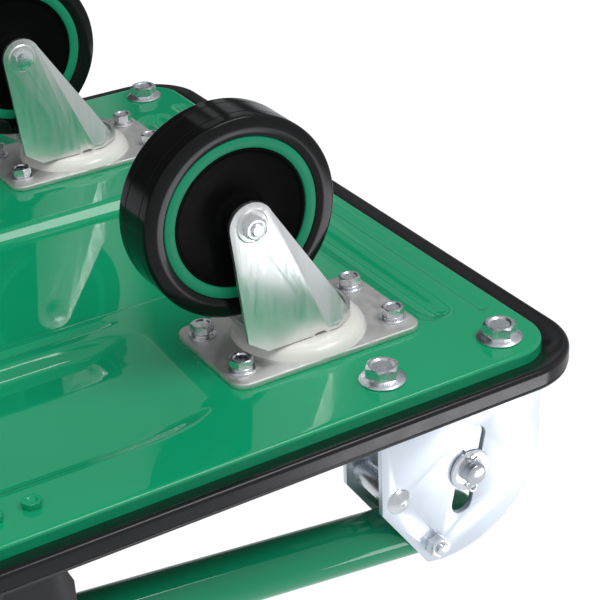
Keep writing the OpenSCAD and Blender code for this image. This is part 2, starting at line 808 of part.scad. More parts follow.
// Domed caps welded into the tube's rear ends
module handle_end_caps() {
  color(green) folded() for (s = [-1, 1]) translate([-dome_x, s*bracket_y, 0]) difference() {
    intersection() {
      sphere(tube_r);
      translate([-tube_d, -tube_d, -tube_d]) cube([tube_d, 2*tube_d, 2*tube_d]);
    }
    sphere(tube_r - tube_t);
  }
}

// Bushes that line the pivot holes and keep the tube centred between the cheeks
module handle_bushes() {
  l = cheek_space - 2*clear;
  color(cream) folded() for (s = [-1, 1]) translate([0, s*bracket_y + l/2, 0]) rotate([90, 0, 0])
    difference() {
      cylinder(d = bush_d, h = l);
      translate([0, 0, -1]) cylinder(d = pivot_bolt_d + 2*run, h = l + 2);
    }
}

// ---------- lock bar ----------

bar_half = bracket_y + bracket_w/2 + clear + washer_t + bar_end;
pin_y = bar_half - 3;
pin_d = 3.2;

module lock_bar() {
  color(zinc) translate([bar_x, bar_half, bar_z]) rotate([90, 0, 0]) difference() {
    cylinder(d = bar_d, h = 2*bar_half);
    for (z = [bar_half - pin_y, bar_half + pin_y])
      translate([0, 50, z]) rotate([90, 0, 0]) cylinder(d = pin_d, h = 100);
  }
}

module lock_washers() {
  color(zinc) both_sides() translate([bar_x, -bracket_y - bracket_w/2 - clear, bar_z])
    rotate([90, 0, 0]) difference() {
      cylinder(r = bar_d, h = washer_t);
      translate([0, 0, -1]) cylinder(d = bar_d, h = washer_t + 2);
    }
}

module split_pins() {
  leg = bar_d/2 + 6;
  color(zinc) both_sides() translate([bar_x, -pin_y, bar_z]) {
    translate([0, 0, -leg]) cylinder(d = pin_d, h = 2*leg - 4);
    translate([0, 0, leg - 3]) rotate([90, 0, 0]) rotate_extrude() translate([2.6, 0])
      circle(d = 1.6);
  }
}

deck_panel();
deck_mat();
edge_bumper();
bracket_right();
bracket_left();
bracket_bolts();
bracket_nuts();
stop_bolts();
stop_sleeves();
stop_nuts();
pivot_bolts();
pivot_nuts();
handle_rests();
rest_screws();
lock_springs();
castor_plate_rear_left();
castor_plate_rear_right();
fixed_fork_front_left();
fixed_fork_front_right();
castor_bolts();
castor_washers();
castor_nuts();
front_axles();
front_axle_nuts();
swivel_fork_left();
kingpin_left();
swivel_balls_left();
rear_axle_left();
rear_axle_nut_left();
swivel_fork_right();
kingpin_right();
swivel_balls_right();
rear_axle_right();
rear_axle_nut_right();
tyre_rear_left();
rim_rear_left();
hub_caps_rear_left();
bearing_rear_left();
tyre_rear_right();
rim_rear_right();
hub_caps_rear_right();
bearing_rear_right();
tyre_front_left();
rim_front_left();
hub_caps_front_left();
bearing_front_left();
tyre_front_right();
rim_front_right();
hub_caps_front_right();
bearing_front_right();
handle_tube();
handle_end_caps();
handle_bushes();
lock_bar();
lock_washers();
split_pins();
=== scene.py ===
# %% [markdown]
# # A platform trolley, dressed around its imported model
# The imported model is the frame: it says where every piece is and how big it is. Everything below
# is built in metres in that same frame, so nothing has to be fitted afterwards. Sizes are read from
# the frame's boxes and joints, and MM turns a maker's millimetres into metres.

# %% Load the frame
import json
import math
import bmesh
import bpy
from mathutils import Matrix, Vector

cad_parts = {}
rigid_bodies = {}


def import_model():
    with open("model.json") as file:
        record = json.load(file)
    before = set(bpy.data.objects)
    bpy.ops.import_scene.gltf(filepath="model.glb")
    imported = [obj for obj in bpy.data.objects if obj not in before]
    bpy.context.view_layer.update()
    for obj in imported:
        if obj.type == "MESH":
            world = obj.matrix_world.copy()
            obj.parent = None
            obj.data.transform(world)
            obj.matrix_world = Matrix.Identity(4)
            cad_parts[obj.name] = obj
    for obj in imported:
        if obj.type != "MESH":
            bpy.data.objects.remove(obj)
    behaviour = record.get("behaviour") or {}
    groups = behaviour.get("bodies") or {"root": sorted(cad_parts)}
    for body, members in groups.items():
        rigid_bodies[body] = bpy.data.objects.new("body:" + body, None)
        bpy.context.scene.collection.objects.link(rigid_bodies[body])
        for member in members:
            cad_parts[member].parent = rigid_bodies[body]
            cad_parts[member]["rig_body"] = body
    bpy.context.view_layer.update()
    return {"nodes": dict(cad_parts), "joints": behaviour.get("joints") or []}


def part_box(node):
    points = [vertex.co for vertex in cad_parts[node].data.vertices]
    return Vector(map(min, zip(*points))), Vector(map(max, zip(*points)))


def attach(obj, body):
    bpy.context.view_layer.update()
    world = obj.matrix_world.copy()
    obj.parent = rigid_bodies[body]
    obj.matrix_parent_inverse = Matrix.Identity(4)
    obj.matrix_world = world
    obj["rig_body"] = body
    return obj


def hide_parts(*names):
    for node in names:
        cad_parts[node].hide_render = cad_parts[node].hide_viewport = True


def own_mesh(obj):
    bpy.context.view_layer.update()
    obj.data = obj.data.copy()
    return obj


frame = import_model()
MM = 0.001
JOINTS = {j["name"]: j for j in frame["joints"]}

# %% [markdown]
# ## Measuring the frame
# A learner often types sizes twice, once in CAD and once in Blender, and then they drift apart.
# Here each size is measured on a CAD node once and gets a plain name.

# %% Sizes that the pieces share
def size_of(node):
    low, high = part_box(node)
    return low, high, high - low, (low + high) / 2


deck_low, deck_high, _, _ = size_of("deck_panel")
bump_low, bump_high, bump_size, _ = size_of("edge_bumper")
_, _, tyre_size, _ = size_of("tyre_rear_right")
plate_low, plate_high, plate_size, plate_mid = size_of("castor_plate_rear_right")
_, _, _, bracket_mid = size_of("bracket_right")

SHEET = 2 * MM
FLANGE = 9 * MM
CORNER = 30 * MM
HALF_L = deck_high.x - FLANGE
HALF_W = deck_high.y - FLANGE
UNDERSIDE = deck_low.z
WHEEL_R = tyre_size.z / 2
WHEEL_W = tyre_size.y
CASTOR_X = (plate_high.x + plate_low.x) / -2
CASTOR_Y = abs(plate_mid.y)
PLATE_Z = UNDERSIDE - 4 * MM
print(f"deck {2000 * HALF_L:.0f} x {2000 * HALF_W:.0f} mm, wheel radius {1000 * WHEEL_R:.1f} mm")

# %% [markdown]
# ## Small workshop helpers
# Turned pieces are a profile spun round an axis, drawn pieces are a section pushed along a path, and
# plain sheet-metal pieces are the CAD solid with its sharp edges broken. Three helpers cover them.

# %% Put a mesh on the bench
def piece(name, verts, faces, material, body, smooth=True, sharp=32):
    mesh = bpy.data.meshes.new(name)
    mesh.from_pydata([tuple(v) for v in verts], [], faces)
    mesh.validate()
    obj = bpy.data.objects.new(name, mesh)
    bpy.context.scene.collection.objects.link(obj)
    return finish(obj, material, body, smooth, sharp)


def finish(obj, material, body, smooth=True, sharp=32):
    obj.data.materials.clear()
    obj.data.materials.append(material)
    if smooth:
        obj.data.shade_smooth()
        obj.data.set_sharp_from_angle(angle=math.radians(sharp))
    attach(obj, body)
    return obj


def face_outward(obj):
    bm = bmesh.new()
    bm.from_mesh(obj.data)
    bmesh.ops.remove_doubles(bm, verts=bm.verts, dist=2e-6)
    bmesh.ops.recalc_face_normals(bm, faces=bm.faces)
    bm.to_mesh(obj.data)
    bm.free()


# %% Turned pieces
def turned(profile, place, steps=128):
    """Verts and faces of a profile of (radius, height) points spun round Z, then moved by place."""
    verts, faces = [], []
    count = len(profile)
    for i in range(steps):
        a = 2 * math.pi * i / steps
        for r, z in profile:
            verts.append(place @ Vector((r * math.cos(a), r * math.sin(a), z)))
    for i in range(steps):
        j = (i + 1) % steps
        for k in range(count):
            m = (k + 1) % count
            faces.append((i * count + k, j * count + k, j * count + m, i * count + m))
    return verts, faces


def turned_piece(name, profile, place, material, body, steps=128, sharp=32):
    verts, faces = turned([(r * MM, z * MM) for r, z in profile], place, steps)
    obj = piece(name, verts, faces, material, body, smooth=False)
    face_outward(obj)
    obj.data.shade_smooth()
    obj.data.set_sharp_from_angle(angle=math.radians(sharp))
    return obj


# %% Pieces with a hexagon
def hex_radius(af, angle):
    return af / 2 / math.cos((angle + math.pi / 6) % (math.pi / 3) - math.pi / 6)


def hexed(rings, steps=72):
    """A stack of rings, each (kind, size, height, drop): round rings use size as a radius, hex rings
    as the width across flats, and drop lowers a hex ring's corners as a chamfer does."""
    verts, faces = [], []
    for kind, size, z, drop in rings:
        for i in range(steps):
            a = 2 * math.pi * i / steps
            r = hex_radius(size, a) if kind == "hex" else size
            low = drop * (r - size / 2) if kind == "hex" else 0
            verts.append((r * math.cos(a) * MM, r * math.sin(a) * MM, (z - low) * MM))
    for k in range(len(rings) - 1):
        for i in range(steps):
            j = (i + 1) % steps
            faces.append((k * steps + i, k * steps + j, (k + 1) * steps + j, (k + 1) * steps + i))
    faces.append(tuple(range(steps))[::-1])
    faces.append(tuple((len(rings) - 1) * steps + i for i in range(steps)))
    mesh = bpy.data.meshes.new("hexed")
    mesh.from_pydata(verts, [], faces)
    bm = bmesh.new()
    bm.from_mesh(mesh)
    bmesh.ops.remove_doubles(bm, verts=bm.verts, dist=2e-6)
    bmesh.ops.recalc_face_normals(bm, faces=bm.faces)
    bm.to_mesh(mesh)
    bm.free()
    mesh.shade_smooth()
    mesh.set_sharp_from_angle(angle=math.radians(30))
    return mesh


# %% CAD solids with their edges broken
def eased(node, name, material, edge=0.5, segments=2, sharp=30):
    """A merged copy of a CAD solid whose sharp edges get a small radius. It stands for the node."""
    src = frame["nodes"][node]
    bm = bmesh.new()
    bm.from_mesh(src.data)
    bmesh.ops.remove_doubles(bm, verts=bm.verts, dist=1e-5)
    bmesh.ops.dissolve_limit(bm, angle_limit=math.radians(0.5), verts=bm.verts, edges=bm.edges)
    mesh = bpy.data.meshes.new(name)
    bm.to_mesh(mesh)
    bm.free()
    obj = bpy.data.objects.new(name, mesh)
    bpy.context.scene.collection.objects.link(obj)
    bevel = obj.modifiers.new("edge", "BEVEL")
    bevel.width = edge * MM
    bevel.segments = segments
    bevel.limit_method = "ANGLE"
    bevel.angle_limit = math.radians(sharp)
    bevel.harden_normals = True
    finish(obj, material, src["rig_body"], True, 180)
    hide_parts(node)
    return obj


# %% [markdown]
# ## Finishes
# Real paint, plating and rubber are never one flat value. Enamel has a faint orange peel under a clear
# hard gloss, zinc plate is slightly blotchy and carries rolling lines, moulded rubber is cloudy. Each
# finish below reads the object's own coordinates in metres, so its grain keeps a true size.

# %% A finish and its nodes
def finish_nodes(name, color, rough, metal=0.0, coat=0.0, coat_rough=0.03, specular=0.5):
    mat = bpy.data.materials.new(name)
    mat.use_nodes = True
    tree = mat.node_tree
    shader = tree.nodes["Principled BSDF"]
    shader.inputs["Base Color"].default_value = (*color, 1)
    shader.inputs["Roughness"].default_value = rough
    shader.inputs["Metallic"].default_value = metal
    shader.inputs["Coat Weight"].default_value = coat
    shader.inputs["Coat Roughness"].default_value = coat_rough
    shader.inputs["Specular IOR Level"].default_value = specular
    return mat, tree, shader


def grain(tree, scale, detail=2.0, stretch=(1, 1, 1), rough=0.5):
    coords = tree.nodes.new("ShaderNodeTexCoord")
    place = tree.nodes.new("ShaderNodeMapping")
    place.inputs["Scale"].default_value = stretch
    tree.links.new(coords.outputs["Object"], place.inputs["Vector"])
    noise = tree.nodes.new("ShaderNodeTexNoise")
    noise.inputs["Scale"].default_value = scale
    noise.inputs["Detail"].default_value = detail
    noise.inputs["Roughness"].default_value = rough
    tree.links.new(place.outputs["Vector"], noise.inputs["Vector"])
    return noise.outputs["Fac"]


def spread(tree, value, low, high, start=0.3, stop=0.7):
    ramp = tree.nodes.new("ShaderNodeMapRange")
    ramp.inputs["From Min"].default_value = start
    ramp.inputs["From Max"].default_value = stop
    ramp.inputs["To Min"].default_value = low
    ramp.inputs["To Max"].default_value = high
    tree.links.new(value, ramp.inputs["Value"])
    return ramp.outputs["Result"]


def tint(tree, shader, value, first, second):
    mix = tree.nodes.new("ShaderNodeMix")
    mix.data_type = "RGBA"
    mix.inputs["A"].default_value = (*first, 1)
    mix.inputs["B"].default_value = (*second, 1)
    tree.links.new(value, mix.inputs["Factor"])
    tree.links.new(mix.outputs["Result"], shader.inputs["Base Color"])


def relief(tree, shader, value, strength, depth, coat=False):
    bump = tree.nodes.new("ShaderNodeBump")
    bump.inputs["Strength"].default_value = strength
    bump.inputs["Distance"].default_value = depth * MM
    tree.links.new(value, bump.inputs["Height"])
    tree.links.new(bump.outputs["Normal"], shader.inputs["Normal"])
    if coat:
        tree.links.new(bump.outputs["Normal"], shader.inputs["Coat Normal"])


# %% Green gloss enamel
def enamel(name, color, deep, coat=1.0):
    mat, tree, shader = finish_nodes(name, color, 0.4, coat=coat, coat_rough=0.03, specular=0.0)
    tint(tree, shader, spread(tree, grain(tree, 7, 3), 0, 1), color, deep)
    relief(tree, shader, grain(tree, 60, 1), 0.04, 0.10, coat=True)
    rough = spread(tree, grain(tree, 45, 4), 0.24, 0.34)
    tree.links.new(rough, shader.inputs["Roughness"])
    return mat


DECK_GREEN = enamel("deck_green_enamel", (0.006, 0.335, 0.150), (0.005, 0.310, 0.138))
TUBE_GREEN = enamel("tube_green_enamel", (0.005, 0.270, 0.125), (0.004, 0.250, 0.115))
print("green enamel for the deck and the tube")


# %% Zinc plate
def zinc(name, color, warm, rough, streak=(1, 1, 1), scale=60, lines_depth=0.10):
    mat, tree, shader = finish_nodes(name, color, rough, metal=1.0)
    cloud = grain(tree, scale, 5, streak, 0.6)
    tint(tree, shader, spread(tree, cloud, 0, 1, 0.35, 0.65), color, warm)
    tree.links.new(spread(tree, grain(tree, scale * 2.3, 4, streak), rough * 0.8, rough * 1.3),
                   shader.inputs["Roughness"])
    relief(tree, shader, grain(tree, 900, 3, streak), lines_depth, 0.04)
    return mat


PLATE_ZINC = zinc("plate_zinc", (0.84, 0.835, 0.81), (0.79, 0.785, 0.76), 0.56)
FORK_ZINC = zinc("fork_zinc", (0.86, 0.86, 0.855), (0.82, 0.82, 0.815), 0.36, (1, 1, 0.12), 150, 0.04)
BRACKET_ZINC = zinc("bracket_zinc", (0.80, 0.86, 0.93), (0.785, 0.85, 0.925), 0.40, scale=18)
BOLT_ZINC = zinc("bolt_zinc", (0.86, 0.88, 0.91), (0.80, 0.82, 0.85), 0.26, scale=260)
BAR_ZINC = zinc("bar_zinc", (0.66, 0.68, 0.71), (0.60, 0.62, 0.66), 0.22, (1, 0.05, 1), 220)
BEARING_STEEL = zinc("bearing_steel", (0.50, 0.50, 0.51), (0.44, 0.44, 0.45), 0.25)


# %% Rubber and moulded plastic
def moulded(name, color, pale, rough, grain_scale, depth, coat=0.0, specular=0.5):
    mat, tree, shader = finish_nodes(name, color, rough, coat=coat, coat_rough=0.08, specular=specular)
    tint(tree, shader, spread(tree, grain(tree, 30, 4), 0, 1), color, pale)
    tree.links.new(spread(tree, grain(tree, 90, 3), rough * 0.85, rough * 1.2),
                   shader.inputs["Roughness"])
    relief(tree, shader, grain(tree, grain_scale, 3), 0.2, depth)
    return mat


BUMPER_BLACK = moulded("bumper_rubber", (0.0034, 0.0033, 0.0038), (0.0046, 0.0045, 0.0052), 0.20, 700, 0.01,
                       specular=0.42)
TYRE_BLACK = moulded("tyre_black", (0.0040, 0.0040, 0.0042), (0.0060, 0.0060, 0.0062), 0.12, 400, 0.01,
                     specular=0.22)
HUB_BLACK = moulded("hub_black", (0.0036, 0.0036, 0.0037), (0.0046, 0.0046, 0.0047), 0.22, 500, 0.01,
                    specular=0.015)
REST_BLACK = moulded("rest_plastic", (0.0040, 0.0040, 0.0042), (0.0058, 0.0058, 0.0060), 0.28, 900, 0.05)
MAT_BLACK = moulded("mat_rubber", (0.016, 0.016, 0.017), (0.022, 0.022, 0.023), 0.62, 900, 0.12)
RIM_GREEN = moulded("rim_green", (0.012, 0.280, 0.145), (0.010, 0.245, 0.125), 0.36, 500, 0.01,
                    specular=0.18)
# Pale cream for the pressed castor dish: a painted reflection of the bright light the dish catches.
RACE_PAINTED_REFLECTION = moulded("race_painted_reflection", (0.80, 0.79, 0.74), (0.76, 0.75, 0.70), 0.24, 500, 0.03, coat=0.5)
BUSH_WHITE = moulded("bush_nylon", (0.72, 0.72, 0.68), (0.66, 0.66, 0.62), 0.45, 600, 0.03)
print(len(bpy.data.materials), "finishes")

# %% [markdown]
# ## The pressed deck
# The deck is one steel sheet. A press lifts long fields and ribs into it, turns its border up into a rim
# and folds an outward flange that the bumper clips on. Boxes with bevels would look like stacked blocks,
# so the sheet is a height field: one function says how far the press lifted the metal at a point, and
# rings of points follow the rounded rim while a grid fills the middle.

# %% Where the press lifted the sheet
RIB_LIFT = 8.5 * MM
FIELD_LIFT = 3.6 * MM
inner_x = plate_low.x * -1 - plate_size.x - 18 * MM
end_x = CASTOR_X + plate_size.x / 2
pad_y = CASTOR_Y - 42 * MM
edge_y = HALF_W - 49 * MM
rib_y1 = pad_y + 20 * MM
rib_y0 = rib_y1 - 46 * MM
centre_y = rib_y0 - 23 * MM
groove_y = CASTOR_Y + 39 * MM
end_gap = HALF_L - end_x


def lifted(x, y, x0, x1, y0, y1, height, slope, radius, ends=1.0):
    """Lift of one pressed field: full inside, none outside, with a soft slope and round corners.
    Below 1, ends makes the slope at the two x ends that much gentler."""
    qx = (abs(x - (x0 + x1) / 2) - (x1 - x0) / 2) * ends + radius
    qy = abs(y - (y0 + y1) / 2) - (y1 - y0) / 2 + radius
    inside = radius - math.hypot(max(qx, 0), max(qy, 0)) - min(max(qx, qy), 0)
    t = min(max(inside / slope, 0), 1)
    return height * t * t * (3 - 2 * t)


FIELDS = [(-inner_x - 4 * MM, inner_x + 4 * MM, rib_y0, edge_y + 8 * MM, FIELD_LIFT, 11 * MM, 18 * MM, 0.30),
          (-inner_x, inner_x, rib_y0 - 16 * MM, rib_y0 - 8 * MM, 1.6 * MM, 3 * MM, 3 * MM, 0.12),
          (-end_x + 28 * MM, end_x - 28 * MM, -centre_y, centre_y, RIB_LIFT, 10 * MM, 14 * MM)]
END_GROOVES = [(end_x + end_gap * 0.02, end_x + end_gap * 0.52, groove_y, RIB_LIFT * 0.42, 15 * MM, 15 * MM),
               (end_x + end_gap * 0.66, end_x + end_gap * 0.86, groove_y + 7 * MM, 1.2 * MM, 6 * MM, 6 * MM)]


def channel(ax, ay):
    """The load rib beside the side field: its floor leans, deep at its inner wall."""
    share = min(max((rib_y1 - ay) / (rib_y1 - rib_y0 - 8 * MM), 0), 1)
    deep = FIELD_LIFT + (RIB_LIFT - FIELD_LIFT) * share
    inside = lifted(ax, ay, -inner_x, inner_x, rib_y0, rib_y1 + 30 * MM, 1, 7 * MM, 12 * MM, 0.18)
    return deep * inside if ay < rib_y1 else 0


def sheet_height(x, y):
    ax, ay = abs(x), abs(y)
    lift = max(lifted(x, ay, *field) for field in FIELDS)
    lift = max(lift, channel(ax, ay))
    for x0, x1, reach, height, slope, radius in END_GROOVES:
        lift = max(lift, lifted(ax, y, x0, x1, -reach, reach, height, slope, radius))
    return UNDERSIDE + lift


# %% The rim's section and the sheet's rings
BEND = 2.6 * MM


def rim_section():
    """(inset from the bend, height) from the flange's edge, round the bends, to the flat border."""
    flange_z = deck_high.z - SHEET
    points = [(-FLANGE, flange_z, False), (-3 * MM, flange_z, False)]
    for i in range(1, 5):
        a = math.pi / 2 * i / 4
        points.append((-3 * MM * (1 - math.sin(a)), flange_z - 2.5 * MM * (1 - math.cos(a)), False))
    for i in range(0, 9):
        a = math.pi / 2 * i / 8
        points.append((BEND * (1 - math.cos(a)), UNDERSIDE + BEND * (1 - math.sin(a)), i == 8))
    insets = (4.5, 6.5, 8, 9, 10, 11, 12, 13, 14, 15, 16, 17.5, 20, 23, 26.5)
    points += [(inset * MM, 0, True) for inset in insets]
    return points


def lines(half, edges, coarse, fine=1.6 * MM, reach=8 * MM):
    """Grid lines from -half to half, close together near each edge in edges."""
    found, at = [], 0.0
    while at < half - 1e-9:
        found.append(at)
        near = min((abs(at - e) for e in edges), default=1)
        at += fine if near < reach else min(coarse, max(fine, (near - reach) * 0.8))
    found.append(half)
    return sorted(set([-v for v in found] + found))


def deck_sheet():
    x_edges = [inner_x - 4 * MM, end_x - 34 * MM]
    x_edges += [v for g in END_GROOVES for v in (g[0] + 2 * MM, g[1] - 2 * MM)]
    y_edges = [edge_y + 3 * MM, rib_y1, rib_y1 - 5 * MM, rib_y0 + 5 * MM, rib_y0 - 8 * MM, rib_y0 - 16 * MM,
               centre_y - 5 * MM, groove_y]
    xs = lines(HALF_L - CORNER, x_edges, 9 * MM)
    ys = lines(HALF_W - CORNER, y_edges, 9 * MM)
    verts, faces, ring_ids = [], [], []
    arc_steps = 14

    def ring(inset, z, pressed):
        r = CORNER - inset
        start = len(verts)
        corners = ((1, 1), (-1, 1), (-1, -1), (1, -1))
        sides = (list(reversed(xs)), list(reversed(ys)), xs, ys)
        for c, (sx, sy) in enumerate(corners):
            cx, cy = sx * (HALF_L - CORNER), sy * (HALF_W - CORNER)
            for i in range(arc_steps + 1):
                a = math.pi / 2 * (c + i / arc_steps)
                verts.append([cx + r * math.cos(a), cy + r * math.sin(a), z])
            for v in sides[c][1:-1]:
                if c == 0:
                    verts.append([v, HALF_W - inset, z])
                elif c == 1:
                    verts.append([-HALF_L + inset, v, z])
                elif c == 2:
                    verts.append([v, -HALF_W + inset, z])
                else:
                    verts.append([HALF_L - inset, v, z])
        if pressed:
            for v in verts[start:]:
                v[2] = sheet_height(v[0], v[1])
        return list(range(start, len(verts)))

    for inset, z, pressed in rim_section():
        ring_ids.append(ring(inset, z, pressed))
    count = len(ring_ids[0])
    for a, b in zip(ring_ids, ring_ids[1:]):
        for i in range(count):
            j = (i + 1) % count
            faces.append((a[i], a[j], b[j], b[i]))
    grid = {}
    for i, x in enumerate(xs):
        for j, y in enumerate(ys):
            grid[i, j] = len(verts)
            verts.append([x, y, sheet_height(x, y)])
    nx, ny = len(xs) - 1, len(ys) - 1
    for i in range(nx):
        for j in range(ny):
            faces.append((grid[i, j], grid[i + 1, j], grid[i + 1, j + 1], grid[i, j + 1]))
    inner = ([grid[nx, ny]] * (arc_steps + 1) + [grid[i, ny] for i in range(nx - 1, 0, -1)]
             + [grid[0, ny]] * (arc_steps + 1) + [grid[0, j] for j in range(ny - 1, 0, -1)]
             + [grid[0, 0]] * (arc_steps + 1) + [grid[i, 0] for i in range(1, nx)]
             + [grid[nx, 0]] * (arc_steps + 1) + [grid[nx, j] for j in range(1, ny)])
    last = ring_ids[-1]
    for i in range(count):
        j = (i + 1) % count
        corner = [last[i], last[j], inner[j], inner[i]]
        faces.append(tuple(corner if inner[i] != inner[j] else corner[:3]))
    return verts, faces


verts, faces = deck_sheet()
sheet_obj = piece("deck_sheet", verts, faces, DECK_GREEN, "deck", smooth=False)
sheet_obj.data.flip_normals()
sheet_obj.data.shade_smooth()
thick = sheet_obj.modifiers.new("sheet", "SOLIDIFY")
thick.thickness = SHEET
thick.offset = -1
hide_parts("deck_panel")
print("deck sheet:", len(verts), "points")

# %% [markdown]
# ## The bumper
# A rubber strip with a slot is pushed over the flange all the way round. It is one section carried along
# the deck's outline, so the outline is walked once and the section is repeated at each stop. The section
# has a sloped shoulder, an upright nose with round corners, and a thin lip behind a fine groove.

# %% The outline that the bumper follows
def outline(out, arc_steps=24):
    """Points round the deck at a distance out from its bend, with the outward direction at each."""
    found = []
    for c, (sx, sy) in enumerate(((1, 1), (-1, 1), (-1, -1), (1, -1))):
        centre = Vector((sx * (HALF_L - CORNER), sy * (HALF_W - CORNER), 0))
        for i in range(arc_steps + 1):
            a = math.pi / 2 * (c + i / arc_steps)
            way = Vector((math.cos(a), math.sin(a), 0))
            found.append((centre + way * (CORNER + out), way))
    return found


# %% The bumper's section
def bumper_section():
    """(outwards, height) round the section, in metres, ending where it began."""
    nose = bump_high.x - HALF_L
    mid = (bump_low.z + bump_high.z) / 2
    half = bump_size.z / 2
    slot = SHEET / 2
    r = 3 * MM
    low_x, low_z = nose - r, mid - half + r
    points = [(0.1 * MM, mid - slot), (0.1 * MM, mid - half + 3.9 * MM), (0.9 * MM, mid - half + 3.4 * MM)]
    points += [(low_x + r * math.cos(a), low_z + r * math.sin(a))
               for a in [math.radians(-105 + 105 * i / 10) for i in range(11)]]
    lip_z = mid + half - 3.4 * MM
    points += [(nose, lip_z - 0.5 * MM), (nose - 0.9 * MM, lip_z), (nose - 0.9 * MM, lip_z + 0.5 * MM),
               (nose - 0.4 * MM, lip_z + 0.9 * MM), (nose - 0.6 * MM, mid + half - 1.2 * MM),
               (nose - 1.6 * MM, mid + half - 0.2 * MM), (nose - 2.6 * MM, mid + half),
               (0.6 * MM, mid + half - 0.2 * MM), (0.1 * MM, mid + half - 0.8 * MM),
               (0.1 * MM, mid + slot), (FLANGE * 0.95, mid + slot), (FLANGE * 0.95, mid - slot)]
    return points


section = bumper_section()
verts, faces = [], []
walk = outline(0)
for point, way in walk:
    verts += [point + way * out + Vector((0, 0, z)) for out, z in section]
n, m = len(walk), len(section)
for i in range(n):
    j = (i + 1) % n
    faces += [(i * m + k, j * m + k, j * m + (k + 1) % m, i * m + (k + 1) % m) for k in range(m)]
bumper = piece("bumper_strip", verts, faces, BUMPER_BLACK, "deck", smooth=False)
face_outward(bumper)
bumper.data.shade_smooth()
bumper.data.set_sharp_from_angle(angle=math.radians(40))
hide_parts("edge_bumper")
print("bumper:", len(faces), "faces")

# %% [markdown]
# ## Fasteners by Geometry Nodes
# One bolt is modelled well, then a small node tree puts a copy at every point of a cloud. The tree ends
# by realizing the copies and setting their finish, and the result is stored as a plain mesh, because a
# plain mesh is what every other program can read.

# %% A tree that puts one shape at many points
def scatter_tree(shape, material):
    tree = bpy.data.node_groups.new("put_at_points", "GeometryNodeTree")
    tree.interface.new_socket("Points", in_out="INPUT", socket_type="NodeSocketGeometry")
    tree.interface.new_socket("Turn", in_out="INPUT", socket_type="NodeSocketFloat")
    tree.interface.new_socket("Pieces", in_out="OUTPUT", socket_type="NodeSocketGeometry")
    nodes, links = tree.nodes, tree.links
    start = nodes.new("NodeGroupInput")
    end = nodes.new("NodeGroupOutput")
    info = nodes.new("GeometryNodeObjectInfo")
    info.inputs["Object"].default_value = shape
    put = nodes.new("GeometryNodeInstanceOnPoints")
    turn = nodes.new("ShaderNodeCombineXYZ")
    spin = nodes.new("ShaderNodeMath")
    spin.operation = "MULTIPLY"
    index = nodes.new("GeometryNodeInputIndex")
    realize = nodes.new("GeometryNodeRealizeInstances")
    coat = nodes.new("GeometryNodeSetMaterial")
    coat.inputs["Material"].default_value = material
    links.new(start.outputs["Points"], put.inputs["Points"])
    links.new(info.outputs["Geometry"], put.inputs["Instance"])
    links.new(index.outputs["Index"], spin.inputs[0])
    links.new(start.outputs["Turn"], spin.inputs[1])
    links.new(spin.outputs["Value"], turn.inputs["Z"])
    links.new(turn.outputs["Vector"], put.inputs["Rotation"])
    links.new(put.outputs["Instances"], realize.inputs["Geometry"])
    links.new(realize.outputs["Geometry"], coat.inputs["Geometry"])
    links.new(coat.outputs["Geometry"], end.inputs["Pieces"])
    return tree


def put_at(name, mesh, points, material, body, turn=0.0):
    shape = bpy.data.objects.new(name + "_shape", mesh)
    bpy.context.scene.collection.objects.link(shape)
    cloud = bpy.data.meshes.new(name + "_points")
    cloud.from_pydata([tuple(p) for p in points], [], [])
    holder = bpy.data.objects.new(name + "_holder", cloud)
    bpy.context.scene.collection.objects.link(holder)
    tree = scatter_tree(shape, material)
    modifier = holder.modifiers.new("put", "NODES")
    modifier.node_group = tree
    ident = {s.name: s.identifier for s in tree.interface.items_tree}
    modifier[ident["Turn"]] = turn
    ready = holder.evaluated_get(bpy.context.evaluated_depsgraph_get())
    plain = bpy.data.meshes.new_from_object(ready)
    plain.name = name
    obj = bpy.data.objects.new(name, plain)
    bpy.context.scene.collection.objects.link(obj)
    bpy.data.objects.remove(holder)
    bpy.data.objects.remove(shape)
    finish(obj, material, body, smooth=False)
    obj.data.shade_smooth()
    obj.data.set_sharp_from_angle(angle=math.radians(30))
    print(name, len(points), "times,", len(plain.polygons), "faces")
    return obj


# %% [markdown]
# ## Castor bolts
# Each castor plate is held by four small hex bolts, each over a flat washer and a spring washer, with the
# dished head of a forged bolt. The heads hang below the plate, so the shape is modelled downwards.

# %% Hanging bolt with washers
def hanging(rings):
    return [(kind, size, -z, -drop) for kind, size, z, drop in rings]


def bolt_rings(af, foot, height, washers, shank, up):
    """Rings of a bolt that hangs under a plate: shank, washers as (radius, thickness), head, dish."""
    rings = [("round", shank - 1, -up, 0), ("round", shank, -up + 1, 0), ("round", shank, 0, 0)]
    at = 0.0
    for radius, thick_ in washers:
        rings += [("round", radius - 0.3, at, 0), ("round", radius, at + 0.25, 0),
                  ("round", radius, at + thick_ - 0.3, 0), ("round", radius - 0.35, at + thick_, 0)]
        at += thick_
    rings += [("round", foot, at, 0), ("round", foot, at + 0.4, 0), ("hex", af, at + 0.4, 0),
              ("hex", af, at + height - 0.2, 0.55), ("round", af / 2 * 0.93, at + height, 0),
              ("round", af / 2 * 0.80, at + height - 0.1, 0), ("round", af / 2 * 0.66, at + height - 1.0, 0),
              ("round", af / 2 * 0.35, at + height - 1.3, 0), ("round", 0.3, at + height - 1.35, 0)]
    return hanging(rings)


WASHERS = [(8.5, 1.6), (6.8, 1.8)]
bolt_mesh = hexed(bolt_rings(13, 6.3, 5.4, WASHERS, 4, 13))
HOLE_X = 54 * MM
HOLE_Y = 25 * MM
spots = [Vector((sx * CASTOR_X + hx * HOLE_X, sy * CASTOR_Y + hy * HOLE_Y, PLATE_Z))
         for sx in (-1, 1) for sy in (-1, 1) for hx in (-1, 1) for hy in (-1, 1)]
castor_bolts = put_at("castor_plate_bolts", bolt_mesh, spots, BOLT_ZINC, "deck", 0.37)
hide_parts("castor_bolts", "castor_washers")

